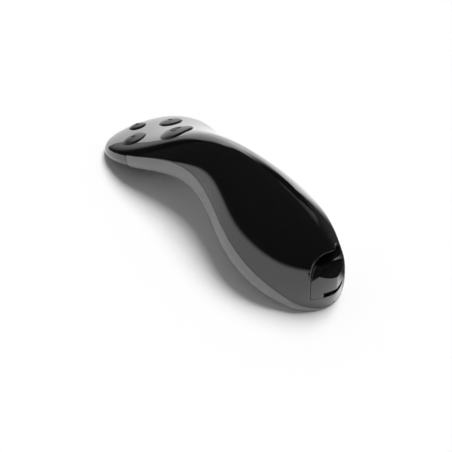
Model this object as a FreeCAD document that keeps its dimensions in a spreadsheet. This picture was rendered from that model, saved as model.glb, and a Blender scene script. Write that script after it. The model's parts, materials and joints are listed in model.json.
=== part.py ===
import FreeCAD, Part
import math
import os
import Sketcher

# A wireless presentation clicker in millimetres.
# Y runs from the tail (receiver end) to the head (buttons and laser), Z is up from the table.
# X is zero on the middle plane, Y is zero half way along, Z is zero on the table.

os.makedirs("parts", exist_ok=True)
doc = FreeCAD.newDocument("clicker")

# Driving dimensions

SIZES = {
    # body
    "body_length": 136.5,
    "rim_width": 44.0,
    "body_height": 39.5,
    "rest_flat": 0.25,
    "wall": 1.5,
    "seam_gap": 0.12,
    "fit_gap": 0.3,
    "overrun": 40.0,
    "least_rise": 0.15,
    # nose cover
    "nose_length": 31.0,
    "nose_gap": 0.15,
    "nose_lean": 31.0,
    # buttons
    "front_button_radius": 4.2,
    "side_button_radius": 5.5,
    "rear_button_radius": 7.4,
    "front_button_inset": 7.5,
    "side_button_inset": 21.4,
    "rear_button_inset": 40.6,
    "side_button_offset": 10.6,
    "button_gap": 0.3,
    "button_edge": 0.5,
    "button_dome": 0.8,
    "button_flange": 0.6,
    "flange_thickness": 0.4,
    "flange_play": 0.15,
    "button_travel": 0.4,
    "plunger_radius": 1.2,
    "mark_rise": 0.12,
    "mark_size": 2.0,
    "mark_line": 0.45,
    # board with its domes and parts
    "board_thickness": 0.6,
    "board_width": 26.6,
    "board_rear_inset": 47.5,
    "board_front_inset": 6.3,
    "tongue_width": 8.4,
    "tongue_length": 9.6,
    "dome_radius": 2.5,
    "dome_height": 0.3,
    "dome_play": 0.2,
    "rib_thickness": 1.2,
    "rib_length": 9.0,
    "rib_inset": 27.0,
    "rear_rib_inset": 43.0,
    "shield_width": 8.0,
    "shield_length": 9.0,
    "shield_height": 1.6,
    "chip_side": 6.0,
    "chip_height": 0.9,
    "led_width": 1.6,
    "led_length": 0.8,
    "led_height": 0.7,
    # laser
    "laser_offset": 7.4,
    "laser_radius": 1.6,
    "laser_length": 7.0,
    "laser_inset": 21.5,
    "laser_exit_inset": 1.3,
    "laser_exit_drop": 0.4,
    "laser_lens_radius": 1.1,
    "laser_lens_depth": 0.8,
    "laser_rim_depth": 0.4,
    "laser_mount_width": 5.4,
    "laser_mount_length": 4.5,
    "laser_gap": 0.25,
    # receiver in the tail
    "receiver_half_width": 9.4,
    "receiver_sill": 6.8,
    "arch_foot": 8.0,
    "arch_rise": 17.3,
    "receiver_gap": 0.15,
    "receiver_depth": 11.0,
    "receiver_back": 1.0,
    "scoop_front": 4.8,
    "scoop_sill": 16.8,
    "scoop_tilt": 27.7,
    "scoop_crest": 20.5,
    "scoop_depth": 8.5,
    "notch_width": 10.4,
    "notch_height": 2.2,
    "notch_depth": 3.0,
    "cavity_width": 14.6,
    "cavity_height": 7.0,
    "cavity_front": 5.6,
    "receiver_board_length": 4.6,
    "receiver_board_thickness": 0.8,
    "receiver_chip_side": 4.0,
    "receiver_chip_height": 0.9,
    # plug
    "plug_width": 12.0,
    "plug_height": 4.5,
    "plug_length": 12.0,
    "plug_wall": 0.3,
    "plug_root": 1.4,
    "plug_centre": 13.0,
    "tongue_height": 1.9,
    "contact_width": 1.0,
    "contact_thickness": 0.15,
    "contact_length": 7.0,
    "contact_pitch": 2.3,
    # bay that takes the plug
    "bay_width": 15.6,
    "bay_gap": 0.2,
    "bay_start": 13.0,
    "bay_wall": 1.1,
    "dock_switch_width": 5.8,
    "dock_switch_length": 2.8,
    "dock_switch_height": 3.0,
    "dock_nub_radius": 0.5,
    "dock_nub_gap": 0.3,
    # cells, tray and door
    "cell_radius": 5.25,
    "cell_nub_radius": 1.9,
    "cell_nub_length": 1.0,
    "cell_gap": 0.15,
    "tray_start": 27.3,
    "tray_end_inset": 58.6,
    "tray_tilt": 8.5,
    "tray_wall": 0.9,
    "tray_end_wall": 1.0,
    "plate_thickness": 0.3,
    "plate_height": 8.0,
    "spring_space": 3.5,
    "spring_radius": 3.0,
    "spring_wire": 0.3,
    "door_width": 21.8,
    "door_lead": 3.6,
    "door_gap": 0.2,
    "hook_width": 3.0,
    "hook_offset": 6.5,
    "hook_reach": 1.5,
    "hook_root": 1.8,
    "hook_thickness": 1.0,
    "hook_gap": 0.25,
    "thumb_groove_width": 9.0,
    "thumb_groove_depth": 0.6,
    "thumb_groove_pitch": 1.6,
    "lead_radius": 0.55,
    "lead_offset": 5.4,
    "lead_bend": 14.0,
    # screws
    "screw_radius": 1.0,
    "screw_length": 5.0,
    "screw_head_radius": 1.8,
    "screw_head_height": 1.4,
    "screw_slack": 0.02,
    "screw_recess": 4.0,
    "screw_web": 2.0,
    "head_clearance": 0.25,
    "shank_clearance": 0.15,
    "post_radius": 3.2,
    "boss_radius": 2.4,
    "tail_screw_inset": 20.0,
    "tail_screw_offset": 13.0,
    "neck_screw_inset": 84.8,
    "nose_screw_inset": 29.0,
    "nose_screw_offset": 16.5,
}

sheet = doc.addObject("Spreadsheet::Sheet", "sizes")
for row, (alias, number) in enumerate(SIZES.items(), start=1):
    sheet.set(f"A{row}", alias)
    sheet.set(f"B{row}", str(number))
    sheet.setAlias(f"B{row}", alias)

# The cells fill their tray, whose ends keep named distances from the tail and the tip
row += 1
sheet.set(f"A{row}", "cell_length")
sheet.set(
    f"B{row}",
    "=body_length - tray_start - tray_end_inset - 2 * tray_end_wall - spring_space - 2 * plate_thickness",
)
sheet.setAlias(f"B{row}", "cell_length")
doc.recompute()


def size(alias):
    """Read one driving dimension from the sheet."""
    return float(sheet.get(alias))


# Body lines
# Each line runs from the tail (0) to the tip of the head (1) and is a smooth curve
# through a few places: shares of half the rim width, or of the body height.

station_shares = (0.0, 0.12, 0.28, 0.44, 0.58, 0.72, 0.86, 1.0)
half_width_shares = (0.405, 0.845, 0.921, 0.642, 0.622, 0.888, 1.106, 1.377)
rim_height_shares = (0.017, 0.257, 0.471, 0.607, 0.585, 0.426, 0.235, 0.052)
crown_shares = (0.567, 0.569, 0.497, 0.365, 0.231, 0.1255, 0.067, 0.054)
belly_shares = (0.073, 0.2205, 0.307, 0.3215, 0.290, 0.2545, 0.198, 0.129)

# How soon each line rounds off at the tail and at the tip, and how squarely
width_end_shares = (0.0597, 0.2722)
crown_end_shares = (0.0536, 0.159)
belly_end_shares = (0.1307, 0.155)
tail_power = 2.2
tip_power = 2.0

# The cross section's four-point curves: shoulder height, flat top and lean, along the body
shape_station_shares = (0.0, 0.1, 0.2, 0.3, 0.4, 0.5, 0.6, 0.7, 0.8, 1.0)
shoulder_shares = (0.55, 0.49, 0.44, 0.39, 0.36, 0.34, 0.345, 0.41, 0.44, 0.50)
flat_top_shares = (0.16, 0.18, 0.26, 0.295, 0.32, 0.335, 0.355, 0.41, 0.445, 0.515)
lean_shares = (0.16, 0.21, 0.24, 0.225, 0.19, 0.155, 0.14, 0.19, 0.185, 0.125)
belly_shoulder_share = 0.6945
belly_flat_share = 0.924
belly_lean_share = -0.213


def smooth_line(places, values):
    """Return the natural cubic curve through values at places."""
    count = len(places)
    bends = [0.0] * count
    weights = [0.0] * count
    loads = [0.0] * count
    for i in range(1, count - 1):
        before = places[i] - places[i - 1]
        after = places[i + 1] - places[i]
        ratio = before / (before + after)
        pivot = ratio * weights[i - 1] + 2
        weights[i] = (ratio - 1) / pivot
        turn = (values[i + 1] - values[i]) / after - (values[i] - values[i - 1]) / before
        loads[i] = (6 * turn / (before + after) - ratio * loads[i - 1]) / pivot
    for i in reversed(range(1, count - 1)):
        bends[i] = weights[i] * bends[i + 1] + loads[i]

    def curve(share):
        i = max(k for k in range(count - 1) if k == 0 or places[k] <= share)
        gap = places[i + 1] - places[i]
        left = (places[i + 1] - share) / gap
        right = (share - places[i]) / gap
        bend = (left**3 - left) * bends[i] + (right**3 - right) * bends[i + 1]
        return left * values[i] + right * values[i + 1] + bend * gap**2 / 6

    return curve


half_width_line = smooth_line(station_shares, half_width_shares)
rim_height_line = smooth_line(station_shares, rim_height_shares)
crown_line = smooth_line(station_shares, crown_shares)
belly_line = smooth_line(station_shares, belly_shares)
shoulder_line = smooth_line(shape_station_shares, shoulder_shares)
flat_top_line = smooth_line(shape_station_shares, flat_top_shares)
lean_line = smooth_line(shape_station_shares, lean_shares)


def round_off(share, reach, power):
    """Fall from one to nothing over the last stretch, as a rounded end."""
    left = max(1 - share / reach, 0.0)
    return (1 - left**power) ** (1 / power)


def both_ends(share, end_shares, head_power):
    """Round off a line at the tail and at the tip."""
    tail = round_off(share, end_shares[0], tail_power)
    return tail * round_off(1 - share, end_shares[1], head_power)


def half_width(share):
    """Half the width of the rim, where the two shells meet."""
    return size("rim_width") / 2 * half_width_line(share) * both_ends(share, width_end_shares, tail_power)


def rim_height(share):
    """Height of the rim over the table."""
    return size("body_height") * rim_height_line(share) - size("rest_flat")


def crown(share):
    """How far the top stands over the rim."""
    return size("body_height") * crown_line(share) * both_ends(share, crown_end_shares, tip_power)


def belly(share):
    """How far the underside hangs below the rim."""
    return size("body_height") * belly_line(share) * both_ends(share, belly_end_shares, tip_power)


def at_share(share):
    """Y of a share of the body's length."""
    return (share - 1 / 2) * size("body_length")


def from_tail(inset):
    """Y of a place so far from the tail."""
    return inset - size("body_length") / 2


def from_tip(inset):
    """Y of a place so far from the tip of the head."""
    return size("body_length") / 2 - inset


def share_of(y):
    """Share of the body's length at Y."""
    return y / size("body_length") + 1 / 2


def upper_poles(share, inset):
    """Poles of the upper half section from the rim to the middle of the top, as (x, rise)."""
    wide = half_width(share) - inset
    rise = max(crown(share) - inset, size("least_rise"))
    lean = wide * (1 - lean_line(share))
    return [(wide, 0), (lean, rise * shoulder_line(share)), (wide * flat_top_line(share), rise), (0, rise)]


def lower_poles(share, inset):
    """Poles of the lower half section from the rim to the middle of the belly, as (x, rise)."""
    wide = half_width(share) - inset
    drop = max(belly(share) - inset, size("least_rise"))
    lean = wide * (1 - belly_lean_share)
    return [(wide, 0), (lean, -drop * belly_shoulder_share), (wide * belly_flat_share, -drop), (0, -drop)]


def cubic(poles, step):
    """Point of a four-point curve at a step from 0 to 1."""
    weights = ((1 - step) ** 3, 3 * step * (1 - step) ** 2, 3 * step**2 * (1 - step), step**3)
    across = sum(weight * pole[0] for weight, pole in zip(weights, poles))
    rise = sum(weight * pole[1] for weight, pole in zip(weights, poles))
    return across, rise


def surface_height(poles, share, x):
    """Height of a half section over the table at a distance x from the middle."""
    low, high = 0.0, 1.0
    for _ in range(48):
        middle = (low + high) / 2
        if cubic(poles, middle)[0] > abs(x):
            low = middle
        else:
            high = middle
    return rim_height(share) + cubic(poles, high)[1]


def top_height(x, y):
    """Height of the outer skin's top."""
    share = share_of(y)
    return surface_height(upper_poles(share, 0), share, x)


def bottom_height(x, y):
    """Height of the outer skin's underside."""
    share = share_of(y)
    return surface_height(lower_poles(share, 0), share, x)


def inner_floor(x, y):
    """Height of the cavity's floor."""
    share = share_of(y)
    return surface_height(lower_poles(share, size("wall")), share, x)


def top_normal(x, y):
    """Outward direction of the top skin."""
    step = size("wall")
    slope_x = (top_height(x + step, y) - top_height(x - step, y)) / (2 * step)
    slope_y = (top_height(x, y + step) - top_height(x, y - step)) / (2 * step)
    normal = FreeCAD.Vector(-slope_x, -slope_y, 1)
    return normal.normalize()


# Skins: solids lofted through cross sections

SECTIONS = 34
end_share = 0.0003


def spaced_shares(first, last, count):
    """Shares from first to last, closer together towards both ends."""
    turns = [math.pi * i / (count - 1) for i in range(count)]
    return [first + (last - first) * (1 - math.cos(turn)) / 2 for turn in turns]


def curve_edge(poles, share, lift, side, backwards):
    """One four-point curve of a section, on one side, at its height over the table."""
    y = at_share(share)
    base = rim_height(share) + lift
    points = [FreeCAD.Vector(side * x, y, base + rise) for x, rise in poles]
    if backwards:
        points.reverse()
    curve = Part.BezierCurve()
    curve.setPoles(points)
    return curve.toShape()


def half_section(share, upper, lift):
    """Closed outline of the upper or the lower half, with a straight line along the rim."""
    poles = upper_poles(share, 0) if upper else lower_poles(share, 0)
    right = curve_edge(poles, share, lift, 1, False)
    left = curve_edge(poles, share, lift, -1, True)
    rim = Part.LineSegment(left.Vertexes[-1].Point, right.Vertexes[0].Point).toShape()
    return Part.Wire([right, left, rim])


def whole_section(share, inset):
    """Closed outline of the whole body, drawn in by a wall."""
    edges = [
        curve_edge(upper_poles(share, inset), share, 0, 1, False),
        curve_edge(upper_poles(share, inset), share, 0, -1, True),
        curve_edge(lower_poles(share, inset), share, 0, -1, False),
        curve_edge(lower_poles(share, inset), share, 0, 1, True),
    ]
    return Part.Wire(edges)


def skin(name, wires):
    """A solid lofted through closed outlines."""
    feature = doc.addObject("Part::Feature", name)
    feature.Shape = Part.makeLoft(wires, True, False)
    return feature


def half_skin(name, upper):
    """The outer solid of the upper or the lower shell, a hair away from the rim."""
    lift = size("seam_gap") / 2 if upper else -size("seam_gap") / 2
    shares = spaced_shares(end_share, 1 - end_share, SECTIONS)
    return skin(name, [half_section(share, upper, lift) for share in shares])


def whole_skin(name, inset):
    """The body's solid drawn in by inset."""
    margin = max(end_share, 2 * inset / size("body_length"))
    shares = spaced_shares(margin, 1 - margin, SECTIONS)
    return skin(name, [whole_section(share, inset) for share in shares])


outer_upper = half_skin("outer_upper", True)
outer_lower = half_skin("outer_lower", False)
outer_whole = whole_skin("outer_whole", 0)
mid_wall = whole_skin("mid_wall", size("wall") / 2)
cavity = whole_skin("cavity", size("wall"))
inner_space = whole_skin("inner_space", size("wall") + size("fit_gap"))

# Small helpers for primitives and booleans


def bind(feature, bindings):
    """Tie a feature's sizes to the sheet."""
    for name, expression in bindings.items():
        feature.setExpression(name, expression)
    return feature


def turned(x, y, z, degrees):
    """A placement turned about the X direction."""
    return FreeCAD.Placement(FreeCAD.Vector(x, y, z), FreeCAD.Rotation(FreeCAD.Vector(1, 0, 0), degrees))


def along(direction, point):
    """A placement at a point whose Z direction follows a direction."""
    turn = FreeCAD.Rotation(FreeCAD.Vector(0, 0, 1), direction)
    return FreeCAD.Placement(point, turn)


def shifted(place, x, y, z):
    """A placement moved within its own directions."""
    return place.multiply(FreeCAD.Placement(FreeCAD.Vector(x, y, z), FreeCAD.Rotation()))


def box(name, across, length, height, place):
    """A box centred across its placement, running along +Y and up."""
    feature = bind(doc.addObject("Part::Box", name), {"Length": across, "Width": length, "Height": height})
    doc.recompute([feature])
    feature.Placement = shifted(place, -feature.Length.Value / 2, 0, 0)
    return feature


def rod(name, radius, length, place):
    """A cylinder from its placement along its Z direction."""
    feature = bind(doc.addObject("Part::Cylinder", name), {"Radius": radius, "Height": length})
    feature.Placement = place
    return feature


def cut(name, base, tool):
    """Base without tool."""
    feature = doc.addObject("Part::Cut", name)
    feature.Base = base
    feature.Tool = tool
    return feature


def fuse(name, shapes):
    """All shapes as one."""
    feature = doc.addObject("Part::MultiFuse", name)
    feature.Shapes = shapes
    return feature


def common(name, shapes):
    """What all shapes share."""
    feature = doc.addObject("Part::MultiCommon", name)
    feature.Shapes = shapes
    return feature


def group(name, shapes):
    """Separate solids in one node."""
    feature = doc.addObject("Part::Compound", name)
    feature.Links = shapes
    return feature


nodes = {}


def keep(label, feature):
    """Name a finished sub-part."""
    feature.Label = label
    nodes[label] = feature
    return feature


LEVEL = FreeCAD.Rotation()
FAR_BELOW = -size("overrun")

# Screws: where they stand, and how high their seats are

screw_places = []
for side in (-1, 1):
    screw_places.append((side * size("tail_screw_offset"), from_tail(size("tail_screw_inset"))))
    screw_places.append((side * size("nose_screw_offset"), from_tip(size("nose_screw_inset"))))
screw_places.append((0, from_tail(size("neck_screw_inset"))))


def seat_height(y):
    """Height of the web that a screw's head pulls against."""
    return bottom_height(0, y) + size("screw_recess")


def make_posts():
    """Posts of the lower shell that take the screws' heads, down to the middle of the wall."""
    posts = []
    for number, (x, y) in enumerate(screw_places):
        post = rod(f"post_{number}", "sizes.post_radius", "sizes.overrun", FreeCAD.Placement())
        top = seat_height(y) + size("screw_web")
        post.Placement = turned(x, y, top - size("overrun"), 0)
        posts.append(post)
    return posts


def make_bosses():
    """Bosses of the upper shell that the screws bite, up to the middle of the wall."""
    bosses = []
    for number, (x, y) in enumerate(screw_places):
        boss = rod(f"boss_{number}", "sizes.boss_radius", "sizes.overrun", FreeCAD.Placement())
        boss.Placement = turned(x, y, seat_height(y) + size("screw_web"), 0)
        bosses.append(boss)
    return bosses


def make_screw_holes():
    """Recess and shank hole of each lower post."""
    holes = []
    for number, (x, y) in enumerate(screw_places):
        recess = rod(
            f"recess_{number}",
            "sizes.screw_head_radius + sizes.head_clearance",
            "sizes.overrun",
            turned(x, y, seat_height(y) - size("overrun"), 0),
        )
        shank = rod(
            f"shank_hole_{number}",
            "sizes.screw_radius + sizes.shank_clearance",
            "sizes.overrun",
            turned(x, y, seat_height(y) - size("wall"), 0),
        )
        holes += [recess, shank]
    return holes


def make_pilots():
    """Pilot hole of each upper boss."""
    pilots = []
    for number, (x, y) in enumerate(screw_places):
        pilots.append(
            rod(
                f"pilot_{number}",
                "sizes.screw_radius + sizes.screw_slack",
                "sizes.screw_length",
                turned(x, y, seat_height(y), 0),
            )
        )
    return pilots


def make_case_screws():
    """Pan-head screws from the underside."""
    screws = []
    for number, (x, y) in enumerate(screw_places):
        seat = seat_height(y)
        head = rod(
            f"screw_head_{number}",
            "sizes.screw_head_radius",
            "sizes.screw_head_height",
            turned(x, y, seat - size("screw_head_height"), 0),
        )
        shank = rod(
            f"screw_shank_{number}",
            "sizes.screw_radius",
            "sizes.screw_length - sizes.seam_gap",
            turned(x, y, seat, 0),
        )
        screws.append(fuse(f"screw_{number}", [head, shank]))
    return keep("case_screws", group("case_screws", screws))


# Receiver outline, seen from the tail: the upper half of an egg shape on a level sill


def arch_prism(name, gap, back):
    """The receiver's outline carried along Y, from beyond the tail to Y back."""
    slack = "sizes.receiver_gap" if gap else "sizes.receiver_gap * 0"
    egg = doc.addObject("Part::Ellipse", name + "_egg")
    bind(
        egg,
        {
            "MajorRadius": f"sizes.arch_rise + {slack}",
            "MinorRadius": f"sizes.receiver_half_width + {slack}",
        },
    )
    upright = FreeCAD.Rotation(FreeCAD.Vector(0, 0, 1), FreeCAD.Vector(-1, 0, 0), FreeCAD.Vector(0, -1, 0), "ZXY")
    egg.Placement = FreeCAD.Placement(FreeCAD.Vector(0, back, size("arch_foot")), upright)
    prism = doc.addObject("Part::Extrusion", name + "_prism")
    prism.Base = egg
    prism.DirMode = "Custom"
    prism.Dir = FreeCAD.Vector(0, -1, 0)
    prism.setExpression("LengthFwd", "sizes.overrun")
    prism.Solid = True
    above = box(name + "_above", "sizes.overrun", "sizes.overrun * 2", "sizes.overrun", LEVEL_PLACE)
    sill = size("receiver_sill") - size("receiver_gap") * gap
    above.Placement = turned(-size("overrun") / 2, back - size("overrun") * 3 / 2, sill, 0)
    return common(name, [prism, above])


# Board and its plane, under the buttons

button_places = {
    "laser_button": (0, from_tip(size("front_button_inset")), "front_button_radius"),
    "previous_button": (-size("side_button_offset"), from_tip(size("side_button_inset")), "side_button_radius"),
    "next_button": (size("side_button_offset"), from_tip(size("side_button_inset")), "side_button_radius"),
    "blank_screen_button": (0, from_tip(size("rear_button_inset")), "rear_button_radius"),
}


def button_axis(name):
    """A button's middle on the skin, and its outward direction."""
    x, y, _ = button_places[name]
    return FreeCAD.Vector(x, y, top_height(x, y)), top_normal(x, y)


def skin_drop(name, reach, angle):
    """How far the skin has fallen below the plane that touches it at a button's middle."""
    point, normal = button_axis(name)
    turn = math.radians(angle)
    spot = along(normal, point).multVec(FreeCAD.Vector(reach * math.cos(turn), reach * math.sin(turn), 0))
    return (spot.z - top_height(spot.x, spot.y)) * normal.z


def flange_depth(name):
    """Depth of a flange's upper face, clear of the curved wall all the way round."""
    reach = size(button_places[name][2]) + size("button_flange")
    drop = max(skin_drop(name, reach, step * 30) for step in range(12))
    return size("wall") + drop + size("flange_play")


def button_stack(name):
    """Depth that a button, its travel and its snap dome take up, from the skin to the board."""
    moving = size("flange_thickness") + size("button_travel")
    tilt = abs(top_normal(*button_places[name][:2]).x)
    reach = size(button_places[name][2]) + size("button_flange")
    room = max(size("dome_play") + size("dome_height"), reach * tilt + size("dome_play"))
    return flange_depth(name) + moving + room


def button_foot(name):
    """Where a button's axis meets the board."""
    point, normal = button_axis(name)
    return point - normal * button_stack(name)


front_foot = button_foot("laser_button")
side_foot = button_foot("next_button")
board_slope = (side_foot.z - front_foot.z) / (front_foot.y - side_foot.y)
board_angle = math.degrees(math.atan(board_slope))
board_front_y = from_tip(size("board_front_inset"))
board_front_z = front_foot.z - board_slope * (board_front_y - front_foot.y)
board_rear_y = from_tip(size("board_rear_inset"))
side_y = from_tip(size("side_button_inset"))
board_length = (board_front_y - board_rear_y) / math.cos(math.radians(board_angle))


def board_height(y):
    """Height of the board's upper face."""
    return board_front_z + board_slope * (board_front_y - y)


def board_place(x, y, depth):
    """A placement on the board's upper face, sunk by depth, with Y down towards the tip."""
    place = turned(x, y, board_height(y), -board_angle)
    return shifted(place, 0, 0, -depth)


board_normal = board_place(0, 0, 0).Rotation.multVec(FreeCAD.Vector(0, 0, 1))


def make_main_board():
    """The printed circuit board: wide under three buttons, with a tongue under the front one."""
    slab = box("board_slab", "sizes.board_width", "sizes.overrun", "sizes.board_thickness", LEVEL_PLACE)
    slab.setExpression("Width", None)
    slab.Width = board_length
    place = board_place(0, board_rear_y, size("board_thickness"))
    slab.Placement = shifted(place, -size("board_width") / 2, 0, 0)
    shoulders = []
    for side in (-1, 1):
        shoulder = box(
            f"board_shoulder_{side + 1}",
            "sizes.board_width / 2",
            "sizes.tongue_length + sizes.wall",
            "sizes.board_thickness * 3",
            LEVEL_PLACE,
        )
        centre = side * (size("tongue_width") / 2 + size("board_width") / 4)
        place = board_place(centre, board_front_y, 2 * size("board_thickness"))
        shoulder.Placement = shifted(place, -size("board_width") / 4, -size("tongue_length"), 0)
        shoulders.append(shoulder)
    outline = cut("board_outline", slab, fuse("board_shoulders", shoulders))
    return keep("main_board", common("main_board", [outline, inner_space]))


LEVEL_PLACE = FreeCAD.Placement()


def dome_distance(name):
    """Distance down a button's axis from the skin to the board's upper face."""
    point, normal = button_axis(name)
    on_board = FreeCAD.Vector(0, board_front_y, board_front_z)
    return (point - on_board).dot(board_normal) / normal.dot(board_normal)


def make_mark(name, kind, place, crest):
    """A small raised mark on a button's dome: bar, arrow, ring or frame."""
    if kind == "dot":
        ring = rod(f"{name}_ring", "sizes.mark_size / 2", crest, place)
        hole = rod(f"{name}_hole", "sizes.mark_size / 2 - sizes.mark_line", crest, place)
        core = rod(f"{name}_core", "sizes.mark_line / 2", crest, place)
        return [cut(f"{name}_dot", ring, hole), core]
    if kind == "frame":
        outer = box(f"{name}_outer", "sizes.mark_size * 2", "sizes.mark_size * 3 / 2", crest, place)
        outer.Placement = shifted(outer.Placement, 0, -size("mark_size") * 3 / 4, 0)
        inner = box(
            f"{name}_inner",
            "sizes.mark_size * 2 - sizes.mark_line * 2",
            "sizes.mark_size * 3 / 2 - sizes.mark_line * 2",
            crest,
            place,
        )
        inner.Placement = shifted(inner.Placement, 0, size("mark_line") - size("mark_size") * 3 / 4, 0)
        return [cut(f"{name}_frame", outer, inner)]
    side = -1 if kind == "left" else 1
    prism = doc.addObject("Part::Prism", f"{name}_arrow")
    bind(prism, {"Circumradius": "sizes.mark_size * 2 / 3", "Height": crest})
    prism.Polygon = 3
    turn = FreeCAD.Rotation(FreeCAD.Vector(0, 0, 1), 0 if side > 0 else 180)
    prism.Placement = place.multiply(FreeCAD.Placement(FreeCAD.Vector(), turn))
    return [prism]


button_marks = {
    "laser_button": "dot",
    "previous_button": "left",
    "next_button": "right",
    "blank_screen_button": "frame",
}


# Height of the ellipsoid that rounds a cap, as a share of the cap's radius
pillow_share = 3.0


def pillow_reach(name, angle):
    """Radius of the cap's ellipsoid across a direction: it falls with the skin and by its own dome."""
    cap_radius = size(button_places[name][2])
    skin = (skin_drop(name, cap_radius, angle) + skin_drop(name, cap_radius, angle + 180)) / 2
    fall = (size("button_dome") + max(skin, 0)) / (pillow_share * cap_radius)
    return cap_radius / math.sqrt(1 - (1 - fall) ** 2)


def make_button(name):
    """A round domed cap with a flange behind the shell and a plunger over its dome switch."""
    x, y, radius = button_places[name]
    point, normal = button_axis(name)
    place = along(normal, point)
    cap_radius = size(radius)
    crest = size("button_edge") + size("button_dome")
    depth = flange_depth(name)
    body = rod(f"{name}_body", f"sizes.{radius}", f"sizes.button_edge + sizes.button_dome + {depth}",
               shifted(place, 0, 0, -depth))
    pillow_height = pillow_share * cap_radius
    pillow = doc.addObject("Part::Ellipsoid", f"{name}_pillow")
    pillow.setExpression("Radius1", f"sizes.{radius} * {pillow_share}")
    pillow.Radius2 = pillow_reach(name, 0)
    pillow.Radius3 = pillow_reach(name, 90)
    pillow.Placement = shifted(place, 0, 0, crest - pillow_height)
    cap = common(f"{name}_cap", [body, pillow])
    flange = rod(
        f"{name}_flange",
        f"sizes.{radius} + sizes.button_flange",
        "sizes.flange_thickness",
        shifted(place, 0, 0, -depth - size("flange_thickness")),
    )
    plunger_end = dome_distance(name) - size("dome_height") - size("button_travel") - size("dome_play")
    plunger = rod(f"{name}_plunger", "sizes.plunger_radius", "sizes.wall", LEVEL_PLACE)
    plunger.setExpression("Height", None)
    plunger.Height = max(plunger_end - depth, size("flange_thickness"))
    plunger.Placement = shifted(place, 0, 0, -plunger_end)
    marks = make_mark(f"{name}_mark", button_marks[name], place, f"{crest} + sizes.mark_rise")
    return keep(name, fuse(name, [cap, flange, plunger] + marks))


def make_button_holes():
    """Round holes through the upper shell, square to the skin."""
    holes = []
    for name, (x, y, radius) in button_places.items():
        point, normal = button_axis(name)
        place = shifted(along(normal, point), 0, 0, -size("wall") - flange_depth(name))
        holes.append(rod(f"{name}_opening", f"sizes.{radius} + sizes.button_gap", "sizes.wall * 5", place))
    return holes


def make_snap_domes():
    """Four metal snap domes on the board, one under each button."""
    domes = []
    for name in button_places:
        point, normal = button_axis(name)
        foot = point - normal * dome_distance(name)
        place = FreeCAD.Placement(foot, board_place(0, 0, 0).Rotation)
        domes.append(rod(f"{name}_dome", "sizes.dome_radius", "sizes.dome_height", place))
    return keep("snap_domes", group("snap_domes", domes))


def on_board_underside(name, x, y, across, length, height):
    """A flat component soldered under the board."""
    part = box(name, f"sizes.{across}", f"sizes.{length}", f"sizes.{height}", LEVEL_PLACE)
    place = board_place(x, y, size("board_thickness") + size(height))
    part.Placement = shifted(place, -size(across) / 2, 0, 0)
    return part


def make_board_parts():
    """The radio under its shield can, the controller chip and the status light."""
    middle_y = (board_rear_y + side_y) / 2
    radio = on_board_underside("radio", -size("side_button_offset") / 2, middle_y, "shield_width", "shield_length",
                               "shield_height")
    keep("radio_shield", radio)
    chip = on_board_underside("chip", size("side_button_offset") / 2, board_rear_y + size("chip_side"), "chip_side",
                              "chip_side", "chip_height")
    keep("controller_chip", chip)
    light_y = board_front_y - size("tongue_length") - 3 * size("led_length")
    light = on_board_underside("light", -size("laser_offset"), light_y, "led_width", "led_length", "led_height")
    keep("status_led", light)


# Laser

laser_front_y = from_tip(size("laser_inset"))
laser_reach = size("laser_radius") / math.cos(math.radians(board_angle)) + size("laser_gap")
laser_front_z = board_height(laser_front_y) - size("board_thickness") / math.cos(math.radians(board_angle)) - laser_reach
exit_y = from_tip(size("laser_exit_inset"))
exit_z = rim_height(share_of(exit_y)) - size("laser_exit_drop")
laser_direction = FreeCAD.Vector(0, exit_y - laser_front_y, exit_z - laser_front_z).normalize()
laser_front = FreeCAD.Vector(size("laser_offset"), laser_front_y, laser_front_z)
laser_back = laser_front - laser_direction * size("laser_length")


def make_laser():
    """A brass laser module with its lens, in a cradle on the nose cover's floor."""
    place = along(laser_direction, laser_back)
    barrel = rod("barrel_body", "sizes.laser_radius", "sizes.laser_length", place)
    seat_depth = size("laser_lens_depth") + size("laser_rim_depth")
    bore = rod(
        "barrel_bore",
        "sizes.laser_lens_radius",
        "sizes.laser_lens_depth + sizes.laser_rim_depth",
        shifted(place, 0, 0, size("laser_length") - seat_depth),
    )
    keep("laser_barrel", cut("laser_barrel", barrel, bore))
    lens = rod(
        "laser_lens",
        "sizes.laser_lens_radius",
        "sizes.laser_lens_depth",
        shifted(place, 0, 0, size("laser_length") - seat_depth),
    )
    keep("laser_lens", lens)
    middle = laser_back + laser_direction * ((size("laser_length") - size("laser_mount_length")) / 2)
    block = box("mount_block", "sizes.laser_mount_width", "sizes.laser_mount_length", "sizes.overrun", LEVEL_PLACE)
    top = middle.z
    block.Placement = turned(middle.x - size("laser_mount_width") / 2, middle.y, top - size("overrun"), 0)
    hollow = rod("mount_hollow", "sizes.laser_radius", "sizes.laser_length", place)
    mount = cut("mount_cut", block, hollow)
    return keep("laser_mount", common("laser_mount", [mount, inner_space]))


# Receiver: case, back, plug and what it holds

tail_back = from_tail(size("receiver_depth"))


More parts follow.
